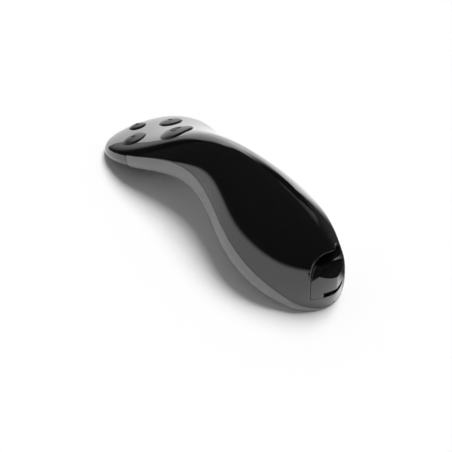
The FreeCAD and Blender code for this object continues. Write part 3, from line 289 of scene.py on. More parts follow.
def put_mesh(name, points, faces, places=None):
    """Make an object from points in mm and faces; places holds one pair for each face corner."""
    mesh = bpy.data.meshes.new(name)
    mesh.from_pydata((np.asarray(points) * MM).tolist(), [], faces)
    if places is None:
        places = np.full((len(mesh.loops), 2), OFF_SKIN)
    layer = mesh.uv_layers.new(name="skin")
    layer.data.foreach_set("uv", np.asarray(places, np.float32).ravel())
    mesh.update()
    piece = bpy.data.objects.new(name, mesh)
    bpy.context.scene.collection.objects.link(piece)
    return piece


print("corners off the skin are marked with", OFF_SKIN)


# %% Faces of a closed tube
def ring_faces(rows, columns):
    """Faces of a tube of closed rings, and of the fans from two end points to its end rings."""
    row = np.arange(rows - 1)[:, None] * columns
    here = np.arange(columns)[None, :]
    after = (here + 1) % columns
    quads = np.stack([row + here, row + after, row + columns + after, row + columns + here], -1)
    ring = np.arange(columns)
    follower = (ring + 1) % columns
    start = np.full(columns, rows * columns)
    base = (rows - 1) * columns
    first_fan = np.stack([start, follower, ring], -1)
    last_fan = np.stack([base + ring, base + follower, start + 1], -1)
    return quads.reshape(-1, 4), np.concatenate([first_fan, last_fan])


def volume(points, triangles):
    """Signed volume: a sixth of the sum of a . (b x c) over the triangles a, b, c."""
    a, b, c = (points[triangles[:, i]] for i in range(3))
    return np.einsum("ij,ij->", a, np.cross(b, c)) / 6


sides, ends = ring_faces(2, 4)
print("a tube of two square rings has", len(sides), "sides and", len(ends), "end faces")


# %% A closed tube
def tube(name, rings, start, end, places=None):
    """A closed tube through rings of points, shaped (rows, columns, 3), shut by two end points."""
    rows, columns = rings.shape[:2]
    points = np.concatenate([rings.reshape(-1, 3), [start, end]])
    quads, fans = ring_faces(rows, columns)
    triangles = np.concatenate([quads[:, :3], quads[:, [0, 2, 3]], fans])
    if volume(points, triangles) < 0:
        quads = quads[:, ::-1]
        fans = fans[:, ::-1]
    faces = quads.tolist() + fans.tolist()
    if places is None:
        return put_mesh(name, points, faces)
    spots = places.reshape(-1, 2)[quads]
    whole = (spots > SKIN_LIMIT).all((1, 2))
    spots = np.where(whole[:, None, None], spots, OFF_SKIN).reshape(-1, 2)
    fan_spots = np.full((fans.size, 2), OFF_SKIN)
    return put_mesh(name, points, faces, np.concatenate([spots, fan_spots]))


print("helpers ready:", tube.__name__, "and", put_mesh.__name__)

# %% [markdown]
# ## The two halves as closed walls
# Each half is a thin wall: the outer skin, a step inwards at the rim, and the skin again one wall
# further in. A ring of the tube therefore runs along the outer section and back along the inner
# one. Rings stand close together near both ends, where the lines turn fast. Each rim has a small
# round, so that the seam shows as a fine dark line with soft edges.

# %% A half shell
STATIONS = 250
OUTER_STEPS = 121
INNER_STEPS = 61
END_SHARE = 0.0003
ROUND_STEPS = 6
ROUND_SHARE = 0.1
RIM_STEP = 1e-3


def half_shell(name, upper, hollow=True):
    """One half of the body as a closed mesh, as a wall or as a full lump down to a flat floor.

    Rings lie at share = (1 - cos(turn)) / 2, so they crowd at both ends. Each ring goes round the
    left edge, over the outer section, round the right edge and back along the inner section. An
    edge's round is a quarter circle: edge + radius * ((1 - sin) * up + (1 - cos) * inward).
    """
    turn = np.linspace(0, np.pi, STATIONS)[:, None]
    share = END_SHARE + (1 - 2 * END_SHARE) * (1 - np.cos(turn)) / 2
    back = np.linspace(1, -1, INNER_STEPS)[None, :]
    inner = skin(share, back, upper, WALL)
    left_edge = skin(share, np.full_like(share, -1.0), upper)
    right_edge = skin(share, np.full_like(share, 1.0), upper)
    if not hollow:
        ease = (1 + back[..., None]) / 2
        inner = left_edge * (1 - ease) + right_edge * ease
        inner[..., 2] -= WALL
    rise = (skin(share, np.full_like(share, 1 - RIM_STEP), upper) - right_edge) / RIM_STEP
    speed = np.linalg.norm(rise, axis=-1, keepdims=True)
    radius = np.minimum(EDGE_ROUND, ROUND_SHARE * right_edge[..., :1])
    reach = 1 - (radius / speed)[..., 0]
    across = np.linspace(-1, 1, OUTER_STEPS)[None, :] * reach
    outer = skin(share, across, upper)
    places = np.stack(np.broadcast_arrays(share, across), -1)
    bend = np.linspace(0, np.pi / 2, ROUND_STEPS)[1:].reshape(1, -1, 1)
    up = rise / speed
    into = np.array([-1.0, 0.0, 0.0])
    right_round = right_edge + radius * ((1 - np.sin(bend)) * up + (1 - np.cos(bend)) * into)
    left_round = (right_round * [-1, 1, 1])[:, ::-1]
    if not hollow:
        inner = inner[:, 1:-1]
    rings = np.concatenate([left_round, outer, right_round, inner], 1)
    before = np.full(left_round.shape[:2] + (2,), OFF_SKIN)
    after = np.full((STATIONS, rings.shape[1] - before.shape[1] - OUTER_STEPS, 2), OFF_SKIN)
    places = np.concatenate([before, places, after], 1)
    return tube(name, rings, rings[0].mean(0), rings[-1].mean(0), places)


print("a half shell takes", STATIONS, "rings")

# %% [markdown]
# ## Cutting holes
# Button holes, the receiver's arch, the battery opening and the screw recesses are cut with closed
# tool bodies, as a machinist would. Holes could also be left out of the grid, but their edges would
# then step. Blender's exact boolean cuts them sharp. The result is stored as a plain mesh, and the
# tool is thrown away.


# %% The cut
def carve(piece, tool, operation="DIFFERENCE"):
    """Cut piece with tool, or keep what both share, and store the result."""
    modifier = piece.modifiers.new("carve", "BOOLEAN")
    modifier.operation = operation
    modifier.solver = "EXACT"
    modifier.object = tool
    graph = bpy.context.evaluated_depsgraph_get()
    mesh = bpy.data.meshes.new_from_object(piece.evaluated_get(graph))
    piece.modifiers.remove(modifier)
    piece.data = mesh
    bpy.data.objects.remove(tool)
    return piece


def join(first, *others):
    """Put several meshes into one object."""
    chosen = [first, *others]
    with bpy.context.temp_override(active_object=first, selected_editable_objects=chosen):
        bpy.ops.object.join()
    return first


print("ways to shape a piece:", carve.__name__, "and", join.__name__)

# %% [markdown]
# Three simple closed bodies are enough as tools: a round rod, a long bar with any outline, and a
# box that can be tilted. Blender has such bodies ready, but these are placed by the same numbers in
# mm as the rest.

# %% Tool bodies
NEARLY_ALONG = 0.1


def aside_of(axis):
    """Two directions square to an axis and to each other."""
    aside = np.cross([0.0, 1.0, 0.0], axis)
    if np.linalg.norm(aside) < NEARLY_ALONG:
        aside = np.array([1.0, 0.0, 0.0])
    aside = aside / np.linalg.norm(aside)
    return aside, np.cross(axis, aside)


def rod(name, point, axis, radius, low, high, sides=96):
    """A closed cylinder about an axis through a point, from low to high along the axis.

    ring = point + radius * (cos(turn) * aside + sin(turn) * other)
    """
    axis = np.array(axis, float)
    aside, other = aside_of(axis)
    turn = np.linspace(0, 2 * np.pi, sides, endpoint=False)[:, None]
    ring = np.array(point) + radius * (np.cos(turn) * aside + np.sin(turn) * other)
    rings = np.stack([ring + low * axis, ring + high * axis])
    return tube(name, rings, rings[0].mean(0), rings[1].mean(0))


def bar(name, outline, low, high):
    """A closed bar along Y from low to high over an outline of (x, z) points."""
    outline = np.array(outline)
    first = np.stack([outline[:, 0], np.full(len(outline), low), outline[:, 1]], -1)
    last = first + [0, high - low, 0]
    return tube(name, np.stack([first, last]), first.mean(0), last.mean(0))


def block(name, low, high, pivot=(0, 0, 0), turn=0):
    """A box from low to high, turned by degrees about the X direction and set down at pivot.

    y becomes y * cos - z * sin, and z becomes y * sin + z * cos, each plus the pivot.
    """
    low = np.array(low, float)
    high = np.array(high, float)
    corners = np.array([[(0, 0, z), (1, 0, z), (1, 1, z), (0, 1, z)] for z in (0, 1)])
    points = low + corners * (high - low)
    sine = math.sin(math.radians(turn))
    cosine = math.cos(math.radians(turn))
    points = points @ np.array([[1, 0, 0], [0, cosine, sine], [0, -sine, cosine]]) + pivot
    return tube(name, points, points[0].mean(0), points[1].mean(0))


print("square to the Z direction:", aside_of(np.array([0.0, 0.0, 1.0])))

# %% [markdown]
# ## Polishing
# Shading directions worked out from small faces would ripple in the gloss. So the skin's own
# directions are put back on every corner that still lies on the skin, and faces made by a tool
# stay flat.


# %% Polish and belonging
def polish(piece, upper):
    """Shade corners on the skin with the skin's own directions, and leave cut faces flat."""
    mesh = piece.data
    places = np.empty(2 * len(mesh.loops), np.float32)
    mesh.uv_layers["skin"].data.foreach_get("uv", places)
    places = places.reshape(-1, 2).astype(float)
    starts = np.empty(len(mesh.polygons), np.int32)
    mesh.polygons.foreach_get("loop_start", starts)
    on_skin = np.minimum.reduceat(places.min(1), starts) > SKIN_LIMIT
    mesh.polygons.foreach_set("use_smooth", on_skin)
    corners = np.repeat(on_skin, np.diff(np.append(starts, len(places))))
    normals = np.zeros((len(places), 3))
    normals[corners] = skin_normal(places[corners, 0], places[corners, 1], upper)
    mesh.normals_split_custom_set(normals.tolist())
    print(piece.name, "has", len(mesh.polygons), "faces,", int(on_skin.sum()), "on the skin")
    return piece


def smooth(piece):
    """Shade every face smoothly."""
    piece.data.polygons.foreach_set("use_smooth", np.ones(len(piece.data.polygons), bool))
    return piece


def belongs(piece, body, node, finish):
    """Say which body the piece rides on, which CAD node it stands for and which finish it takes."""
    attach(piece, body)
    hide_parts(node)
    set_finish(piece, finish)
    return piece


print("the top's direction at the neck:", np.round(skin_normal(np.array(0.5), np.array(0.0)), 3))

# %% [markdown]
# ## Where the buttons sit
# The four buttons stand square to the skin. Their places are the same as in the CAD model: one
# near the tip, two side by side, and a large one towards the neck. Each place is x, y and the cap's
# radius. They could be read off the CAD meshes, but plain numbers are easier to follow.

# %% Button places
BUTTON_GAP = 0.3
BUTTON_EDGE = 0.5
BUTTON_DOME = 0.8
button_places = {
    "laser_button": (0.0, 60.75, 4.2),
    "previous_button": (-10.6, 46.85, 5.5),
    "next_button": (10.6, 46.85, 5.5),
    "blank_screen_button": (0.0, 27.65, 7.4),
}


def top_frame(x, y):
    """A point on the top skin with its across, along and outward directions."""
    step = WALL / 2
    spots_x = np.array([x - step, x + step, x, x, x])
    spots_y = np.array([y, y, y - step, y + step, y])
    heights = top_height(spots_x, spots_y)
    slope_x = (heights[1] - heights[0]) / (2 * step)
    slope_y = (heights[3] - heights[2]) / (2 * step)
    outward = np.array([-slope_x, -slope_y, 1.0])
    outward = outward / np.linalg.norm(outward)
    across, _ = aside_of(outward)
    return np.array([x, y, heights[4]]), across, np.cross(outward, across), outward


button_frames = {name: top_frame(x, y) for name, (x, y, _) in button_places.items()}
for name, button_frame in button_frames.items():
    print(name, "points to", np.round(button_frame[3], 3))

# %% [markdown]
# ## The glossy upper shell
# The top is one piece of black high-gloss plastic. It could be sculpted and subdivided, but a
# formula gives the exact flow that its long reflections need. The four holes and the arch for the
# receiver are then cut through it. The arch is the upper part of an egg shape.

# %% The receiver's arch
RECEIVER_HALF_WIDTH = 9.4
RECEIVER_SILL = 6.8
ARCH_FOOT = 8.0
ARCH_RISE = 17.3
RECEIVER_GAP = 0.15
BAY_START = 13.0
OVERRUN = 40.0


def arch_outline(gap, steps=129):
    """The receiver's outline seen from the tail: the upper part of an egg shape on a level sill.

    x = wide * cos(turn), z = foot + tall * sin(turn)
    """
    wide = RECEIVER_HALF_WIDTH + gap
    tall = ARCH_RISE + gap
    dip = math.asin((RECEIVER_SILL - gap - ARCH_FOOT) / tall)
    turn = np.linspace(dip, np.pi - dip, steps)
    return np.stack([wide * np.cos(turn), ARCH_FOOT + tall * np.sin(turn)], -1)


print("top of the arch:", round(float(arch_outline(RECEIVER_GAP)[:, 1].max()), 2), "mm over the table")

# %% [markdown]
# A mould leaves a small radius on the arch's edge, and it catches a fine line of light. A thin
# round bead along the edge shows that.

# %% The arch's lip
LIP_RADIUS = 0.28
LIP_SINK = 0.2
LIP_STEPS = 161
LIP_SIDES = 20
TAIL_HALVINGS = 30


def tail_surface(x, z):
    """The Y where the tail's skin passes through x and z, found by halving."""
    low = np.full_like(x, TAIL + EDGE_ROUND)
    high = np.full_like(x, TAIL + BAY_START)
    for _ in range(TAIL_HALVINGS):
        middle = (low + high) / 2
        below = top_height(x, middle) < z
        low = np.where(below, middle, low)
        high = np.where(below, high, middle)
    return high


def arch_lip(name):
    """A round tube along the arch's edge.

    point = middle + radius * (cos(turn) * aside + sin(turn) * other)
    """
    outline = arch_outline(RECEIVER_GAP + LIP_RADIUS, LIP_STEPS)
    y = tail_surface(outline[:, 0], outline[:, 1]) + LIP_SINK
    middle = np.stack([outline[:, 0], y, outline[:, 1]], -1)
    forward = np.gradient(middle, axis=0)
    forward = forward / np.linalg.norm(forward, axis=1, keepdims=True)
    aside = np.cross(forward, [0.0, 1.0, 0.0])
    aside = aside / np.linalg.norm(aside, axis=1, keepdims=True)
    other = np.cross(forward, aside)
    turn = np.linspace(0, 2 * np.pi, LIP_SIDES, endpoint=False)[None, :, None]
    around = np.cos(turn) * aside[:, None] + np.sin(turn) * other[:, None]
    return smooth(tube(name, middle[:, None] + LIP_RADIUS * around, middle[0], middle[-1]))


arch_top = tail_surface(np.zeros(1), np.array([ARCH_FOOT + ARCH_RISE]))
print("the arch's top lies", round(float(arch_top[0]) - TAIL, 2), "mm ahead of the tail")

# %% [markdown]
# Now the shell itself: the upper half, less the arch and the four round holes. The holes stand
# square to the skin, as the buttons do.

# %% The upper shell
upper_shell = half_shell("upper_shell_gloss", True)
tools = [bar("arch_tool", arch_outline(RECEIVER_GAP), TAIL - OVERRUN, TAIL + BAY_START)]
for name, (_, _, radius) in button_places.items():
    point, _, _, outward = button_frames[name]
    tools.append(rod(name + "_tool", point, outward, radius + BUTTON_GAP, -3 * WALL, 2 * WALL))
carve(upper_shell, join(*tools))
polish(upper_shell, True)
join(upper_shell, arch_lip("arch_lip"))
belongs(upper_shell, "body", "upper_shell", "gloss_black")
print("upper shell:", len(tools), "holes")

# %% [markdown]
# ## The satin lower shell, the nose cover and the battery door
# Below the seam, the body is a satin tub. A slanted joint parts it from the nose cover, which is
# glossy again, and the battery door fills a rectangle in its belly. All three are cut from the same
# skin, so they always run on into each other. Where the body rests, the table cuts it flat.

# %% Places on the underside
NOSE_LENGTH = 31.0
NOSE_LEAN = -31.0
NOSE_GAP = 0.25
DOOR_WIDTH = 21.8
DOOR_LENGTH = 54.2
DOOR_GAP = 0.2
TRAY_TILT = 8.5
tray_pivot = (0.0, -40.95, 8.25)
nose_pivot = (0.0, TIP - NOSE_LENGTH, float(rim_height(1 - NOSE_LENGTH / BODY_LENGTH)))
body_screws = ((-13.0, -48.25), (13.0, -48.25), (0.0, 16.55))
nose_screws = ((-16.5, 39.25), (16.5, 39.25))
SECTION_POINTS = 2001
BELLY_POINTS = 1600


def belly_height(x, y):
    """Height of the underside, read from a fine row of section points."""
    row = skin(y / BODY_LENGTH + 0.5, np.linspace(0, 1, SECTION_POINTS)[:BELLY_POINTS], False)
    return float(np.interp(abs(x), row[:, 0], row[:, 2]))


def nose_tool(name, gap):
    """Everything ahead of the slanted joint."""
    wide = 2 * OVERRUN
    return block(name, (-wide, -gap, -wide), (wide, wide, wide), nose_pivot, NOSE_LEAN)


def door_tool(name, gap):
    """The battery door's place, drawn in by a gap all round."""
    low = (gap - DOOR_WIDTH / 2, gap, -OVERRUN)
    high = (DOOR_WIDTH / 2 - gap, DOOR_LENGTH - gap, 2 * WALL)
    return block(name, low, high, tray_pivot, TRAY_TILT)


def table_tool():
    """Everything below the table: the two places where the body rests are flat."""
    return block("table_tool", (-OVERRUN, TAIL - OVERRUN, -OVERRUN), (OVERRUN, TIP + OVERRUN, 0))


print("belly over the table at the neck:", round(belly_height(0.0, 0.0), 2), "mm")

# %% [markdown]
# Five screws hold the halves. Each one's head sits in a round recess at the bottom of a tube, and
# both are drawn round the same middle line.

# %% Screw recesses and wells
POST_RADIUS = 3.2
RECESS_RADIUS = 2.05
RECESS_DEPTH = 4.0
WELL_RADIUS = 2.0
WELL_SIDES = 48


def recess_tools(places):
    """The screw recesses."""
    return [
        rod(f"recess_{i}", (x, y, belly_height(0, y)), (0, 0, 1), RECESS_RADIUS, -OVERRUN, RECESS_DEPTH)
        for i, (x, y) in enumerate(places)
    ]


def wells(places):
    """The tubes around the screws: circles about each screw, from inside the wall up to its seat."""
    turn = np.linspace(0, 2 * np.pi, WELL_SIDES, endpoint=False)
    cups = []
    for i, (x, y) in enumerate(places):
        seat = belly_height(0, y) + RECESS_DEPTH
        rings = []
        for radius, top in ((WELL_RADIUS, seat), (POST_RADIUS, seat + WALL)):
            around = np.stack([x + radius * np.cos(turn), y + radius * np.sin(turn), 0 * turn + top], -1)
            foot = around.copy()
            foot[:, 2] = [belly_height(*spot) + WALL / 2 for spot in around[:, :2]]
            rings += [around, foot] if radius == WELL_RADIUS else [foot, around]
        cups.append(tube(f"well_{i}", np.stack(rings), (x, y, seat), (x, y, seat + WALL)))
    return cups


print("screws:", len(body_screws), "in the body and", len(nose_screws), "in the nose")

# %% The lower shell
lower_shell = half_shell("lower_shell_satin", False)
tools = [nose_tool("nose_clear", NOSE_GAP), *recess_tools(body_screws)]
carve(lower_shell, join(*tools))
carve(lower_shell, join(door_tool("door_clear", 0), table_tool()))
polish(lower_shell, False)
join(lower_shell, *wells(body_screws))
belongs(lower_shell, "body", "lower_shell", "satin_graphite")

# %% [markdown]
# The nose cover lets the laser and the status light through. It is cut with the same slanted tool
# as the shell behind it, so the joint between them is even all the way round.

# %% The nose cover
nose_cover = half_shell("nose_cover_gloss", False)
carve(nose_cover, nose_tool("nose_front", 0), "INTERSECT")
carve(nose_cover, join(*recess_tools(nose_screws), table_tool()))
polish(nose_cover, False)
join(nose_cover, *wells(nose_screws))
belongs(nose_cover, "body", "nose_window", "smoked_window")

# %% [markdown]
# The battery door has three thumb grooves, and two hooks at its front that hold it in place. Each
# hook is a foot inside the opening and an arm that reaches in over the shell's floor.

# %% The battery door
GROOVE_COUNT = 3
GROOVE_WIDTH = 9.0
GROOVE_DEPTH = 0.6
GROOVE_PITCH = 1.6

battery_door = half_shell("battery_door_satin", False)
carve(battery_door, door_tool("door_outline", DOOR_GAP), "INTERSECT")
grooves = []
for number in range(GROOVE_COUNT):
    y = tray_pivot[1] + (number + 2) * GROOVE_PITCH
    z = belly_height(0, y)
    low = (-GROOVE_WIDTH / 2, y, z - GROOVE_DEPTH)
    high = (GROOVE_WIDTH / 2, y + GROOVE_DEPTH, z + GROOVE_DEPTH)
    grooves.append(block(f"groove_{number}", low, high))
carve(battery_door, join(*grooves))
polish(battery_door, False)

# %% The door's hooks
HOOK_WIDTH = 3.0
HOOK_OFFSET = 6.5
HOOK_ROOT = 1.8
HOOK_REACH = 1.5
HOOK_THICKNESS = 1.0
HOOK_GAP = 0.25
hinge_y = 13.233

hooks = []
inner_floor = belly_height(HOOK_OFFSET + HOOK_WIDTH / 2, hinge_y - HOOK_ROOT) + WALL
for side in (-1, 1):
    left = side * HOOK_OFFSET - HOOK_WIDTH / 2
    right = left + HOOK_WIDTH
    rear = hinge_y - HOOK_ROOT
    foot_high = (right, rear + HOOK_ROOT / 2, inner_floor + HOOK_GAP)
    hooks.append(block(f"hook_foot_{side}", (left, rear, inner_floor - WALL), foot_high))
    arm_low = (left, rear, inner_floor + HOOK_GAP)
    arm_high = (right, rear + HOOK_ROOT + HOOK_REACH, inner_floor + HOOK_GAP + HOOK_THICKNESS)
    hooks.append(block(f"hook_arm_{side}", arm_low, arm_high))
print("hooks reach in", round(inner_floor, 2), "mm over the table")
join(battery_door, *hooks)
belongs(battery_door, "battery_door", "battery_door", "satin_graphite")

# %% [markdown]
# ## The receiver in the tail
# The little radio receiver carries on the body's own skin. Its top edge is scooped out by a slope
# and a shelf, so that a fingertip finds it, and a notch at its foot takes a fingernail.

# %% The receiver's scoop
SCOOP_FRONT = 4.8
SCOOP_SILL = 16.8
SCOOP_TILT = 27.7
SCOOP_CREST = 20.5
SCOOP_DEPTH = 8.5
scoop_wide = 2 * RECEIVER_HALF_WIDTH


def scoop_ramp():
    """Everything over the slope, up to the scoop's front."""
    pivot = (0, TAIL + SCOOP_FRONT, SCOOP_SILL)
    ramp = block("ramp", (-scoop_wide, -OVERRUN, 0), (scoop_wide, OVERRUN, OVERRUN), pivot, SCOOP_TILT)
    low = (-2 * scoop_wide, TAIL - OVERRUN, 0)
    before = block("before", low, (2 * scoop_wide, TAIL + SCOOP_FRONT, OVERRUN))
    return carve(ramp, before, "INTERSECT")


def scoop_shelf():
    """Everything over the shelf."""
    high = (scoop_wide, TAIL + SCOOP_DEPTH, SCOOP_CREST + OVERRUN)
    return block("shelf", (-scoop_wide, TAIL - OVERRUN, SCOOP_CREST), high)


print("the scoop starts", SCOOP_SILL, "mm over the table and is", SCOOP_DEPTH, "mm deep")

# %% [markdown]
# The receiver's case is a full lump of the body's own top, cut to the arch's outline. Its plug,
# board and back wall stay as the CAD model has them, so a plain box is hollowed out for them.

# %% The receiver case
RECEIVER_DEPTH = 11.0
NOTCH_WIDTH = 10.4
NOTCH_HEIGHT = 2.2
NOTCH_DEPTH = 3.0
CAVITY_WIDTH = 14.6
CAVITY_HEIGHT = 7.0
CAVITY_FRONT = 5.6
PLUG_CENTRE = 13.0

receiver_case = half_shell("receiver_gloss", True, hollow=False)
blank_tool = bar("receiver_outline", arch_outline(0), TAIL - OVERRUN, TAIL + RECEIVER_DEPTH)
carve(receiver_case, blank_tool, "INTERSECT")
notch_low = (-NOTCH_WIDTH / 2, TAIL - OVERRUN, RECEIVER_SILL - WALL)
notch = block("notch", notch_low, (NOTCH_WIDTH / 2, TAIL + NOTCH_DEPTH, RECEIVER_SILL + NOTCH_HEIGHT))
cavity_low = (-CAVITY_WIDTH / 2, TAIL + CAVITY_FRONT, PLUG_CENTRE - CAVITY_HEIGHT / 2)
cavity_high = (CAVITY_WIDTH / 2, TAIL + OVERRUN, PLUG_CENTRE + CAVITY_HEIGHT / 2)
carve(receiver_case, join(scoop_ramp(), notch, block("cavity", cavity_low, cavity_high)))
carve(receiver_case, scoop_shelf())
polish(receiver_case, True)
belongs(receiver_case, "receiver", "receiver_case", "gloss_black")

# %% [markdown]
# ## The buttons
# Each cap is a round pillow. A flattened sphere could stand in for it, but it would not fall as the
# shell around it does. So its top is part of an ellipsoid fitted to the skin, and a small round
# eases it into the upright wall. The wall goes down through the hole in the shell.

# %% The pillow
CAP_ROUND = 0.45
PILLOW_SHARE = 3.0
CAP_DEPTH = 1.9


def skin_drop(name, reach, turn):
    """How far the skin has fallen below the plane that touches it in the button's middle."""
    point, across, along, outward = button_frames[name]
    spot = point + reach * (math.cos(turn) * across + math.sin(turn) * along)
    return float((spot[2] - top_height(spot[0], spot[1])) * outward[2])


def pillow(name):
    """The cap's top as a function of u across and v along: an ellipsoid with a rounded edge.

    height = crest - h + h * sqrt(1 - (u / a)**2 - (v / b)**2), less the edge's round.
    """
    radius = button_places[name][2]
    tall = PILLOW_SHARE * radius
    reaches = []
    for turn in (0, math.pi / 2):
        drop = (skin_drop(name, radius, turn) + skin_drop(name, radius, turn + math.pi)) / 2
        fall = (BUTTON_DOME + max(drop, 0)) / tall
        reaches.append(radius / math.sqrt(1 - (1 - fall) ** 2))

    def height(u, v):
        inner = np.clip(1 - (u / reaches[0]) ** 2 - (v / reaches[1]) ** 2, 0, 1)
        beyond = np.clip(np.hypot(u, v) - radius + CAP_ROUND, 0, CAP_ROUND)
        edge = CAP_ROUND - np.sqrt(CAP_ROUND**2 - beyond**2)
        return BUTTON_EDGE + BUTTON_DOME - tall + tall * np.sqrt(inner) - edge

    return height


print("each cap's middle stands", round(float(pillow("laser_button")(0.0, 0.0)), 2), "mm over the skin")

# %% [markdown]
# The cap is drawn in its own frame, with u across, v along and the height outward, and then set
# into the body. Rings stand closer together at its rounded edge, where the light turns fastest.

# %% The caps
CAP_SIDES = 128
TOP_RINGS = 24
EDGE_RINGS = 14
FOOT_SHARE = 0.5
SHARP_ANGLE = 50


def to_body(name, u, v, height):
    """A place in the button's own frame as a place in the body."""
    point, across, along, outward = button_frames[name]
    u, v, height = np.broadcast_arrays(u, v, height)
    return point + u[..., None] * across + v[..., None] * along + height[..., None] * outward


def cap(name):
    """The button's cap: rings from the middle of its top over the edge and down the wall.

    Each ring is (reach * cos(turn), reach * sin(turn), the pillow's height there).
    """
    radius = button_places[name][2]
    height = pillow(name)
    turn = np.linspace(0, 2 * np.pi, CAP_SIDES, endpoint=False)[None, :]
    flat = np.linspace(0, radius - CAP_ROUND, TOP_RINGS)[1:]
    edge = radius - CAP_ROUND + CAP_ROUND * np.sin(np.linspace(0, np.pi / 2, EDGE_RINGS)[1:])
    reach = np.concatenate([flat, edge])[:, None]
    u = reach * np.cos(turn)
    v = reach * np.sin(turn)
    top = to_body(name, u, v, height(u, v))
    low = np.full_like(u[-1:], -CAP_DEPTH)
    wall = to_body(name, u[-1:], v[-1:], low)
    foot = to_body(name, u[-2:-1] * FOOT_SHARE, v[-2:-1] * FOOT_SHARE, low)
    rings = np.concatenate([top, wall, foot])
    crest = to_body(name, 0.0, 0.0, height(0.0, 0.0))
    piece = smooth(tube(name + "_cap", rings, crest, to_body(name, 0.0, 0.0, -CAP_DEPTH)))
    piece.data.set_sharp_from_angle(angle=math.radians(SHARP_ANGLE))
    return piece


caps = {name: cap(name) for name in button_places}
print("caps:", sorted(caps))

# %% [markdown]
# ## The raised marks
# Each cap carries a tiny raised mark: a dot in a ring, two arrows and a frame. An image could show
# them, but a real mark is raised and catches the light. So a mark is a fine round bead that follows
# a closed line over the pillow.

# %% A closed bead
BEAD_RADIUS = 0.32
BEAD_SINK = 0.1
BEAD_SIDES = 12


def fine_line(corners, per_side):
    """A closed line of (u, v) corners with even steps between them."""
    corners = np.array(corners, float)
    after = np.roll(corners, -1, 0)
    steps = np.linspace(0, 1, per_side, endpoint=False)[None, :, None]
    return (corners[:, None] * (1 - steps) + after[:, None] * steps).reshape(-1, 2)


def loop_faces(rows, columns):
    """Faces of a tube of closed rings whose last ring joins its first."""
    row = np.arange(rows)[:, None] * columns
    next_row = np.roll(np.arange(rows), -1)[:, None] * columns
    here = np.arange(columns)[None, :]
    after = (here + 1) % columns
    return np.stack([row + here, row + after, next_row + after, next_row + here], -1).reshape(-1, 4)


def bead(name, label, corners, per_side):
    """A bead along a closed line, partly sunk into the cap.

    point = middle + radius * (cos(turn) * side + sin(turn) * outward)
    """
    line = fine_line(corners, per_side)
    height = pillow(name)(line[:, 0], line[:, 1]) - BEAD_SINK
    middle = to_body(name, line[:, 0], line[:, 1], height)
    forward = np.roll(middle, -1, 0) - np.roll(middle, 1, 0)
    forward = forward / np.linalg.norm(forward, axis=1, keepdims=True)
    outward = button_frames[name][3]
    side = np.cross(forward, outward)
    turn = np.linspace(0, 2 * np.pi, BEAD_SIDES, endpoint=False)[None, :, None]
    rings = middle[:, None] + BEAD_RADIUS * (np.cos(turn) * side[:, None] + np.sin(turn) * outward)
    quads = loop_faces(*rings.shape[:2])
    points = rings.reshape(-1, 3)
    if volume(points - middle.mean(0), np.concatenate([quads[:, :3], quads[:, [0, 2, 3]]])) < 0:
        quads = quads[:, ::-1]
    return smooth(put_mesh(label, points, quads.tolist()))


print("a bead stands", round(BEAD_RADIUS - BEAD_SINK, 2), "mm over the cap")

# %% The marks
ARROW_REACH = 1.1
RING_REACH = 0.8
RING_CORNERS = 24
DOT_REACH = 0.12
DOT_CORNERS = 8
FRAME_REACH = (2.0, 1.5)
LONG_STEPS = 12
SHORT_STEPS = 2


def round_line(radius, corners):
    """Corners radius * (cos(turn), sin(turn)) of a circle; three make an arrow to the right."""
    turn = np.linspace(0, 2 * np.pi, corners, endpoint=False)
    return np.stack([radius * np.cos(turn), radius * np.sin(turn)], -1)


ring = round_line(RING_REACH, RING_CORNERS)
dot = round_line(DOT_REACH, DOT_CORNERS)
arrow = round_line(ARROW_REACH, 3)
frame_line = np.array([(-1, -1), (1, -1), (1, 1), (-1, 1)]) * FRAME_REACH
marks = {
    "laser_button": (SHORT_STEPS, [ring, dot]),
    "previous_button": (LONG_STEPS, [-arrow]),
    "next_button": (LONG_STEPS, [arrow]),
    "blank_screen_button": (LONG_STEPS, [frame_line]),
}
for name, (per_side, lines) in marks.items():
    beads = [bead(name, f"{name}_mark_{i}", line, per_side) for i, line in enumerate(lines)]
    join(caps[name], *beads)
    belongs(caps[name], name, name, "button_gloss")
print("marks drawn on", len(marks), "caps")

# %% [markdown]
# ## Materials as short sums
# A material is a small calculation. It could be wired by hand in the node editor. To keep it
# readable here, a value in a node tree is wrapped so that plus, minus, times, over and powers write
# the maths nodes, and one method adds any other node.


# %% A value in a node tree
class Value:
    """A value in a node tree. Arithmetic on it adds maths nodes."""

    def __init__(self, recipe, socket):
        self.recipe = recipe
        self.socket = socket

    def maths(self, operation, *others):
        sockets = dict(enumerate((self, *others)))
        return self.recipe.node("ShaderNodeMath", {"operation": operation}, sockets)

    def __add__(self, other):
        return self.maths("ADD", other)

    def __sub__(self, other):
        return self.maths("SUBTRACT", other)

    def __rsub__(self, other):
        return self * -1 + other

    def __mul__(self, other):
        return self.maths("MULTIPLY", other)

    def __truediv__(self, other):
        return self.maths("DIVIDE", other)

    def __pow__(self, other):
        return self.maths("POWER", other)

    __radd__ = __add__
    __rmul__ = __mul__

    def above(self, low, high):
        """Zero below low, one above high, and a soft step between; swapped ends turn it round."""
        sockets = {"Value": self, "From Min": low, "From Max": high}
        return self.recipe.node("ShaderNodeMapRange", {"interpolation_type": "SMOOTHSTEP"}, sockets)


print("a value can do:", [name for name in vars(Value) if name.startswith("__r")])


# %% [markdown]
# The recipe is the sheet that such sums are written on. It knows the few patterns that this object
# needs: the place on the piece, a cloudy noise, a blend of two colours and a fine bump.

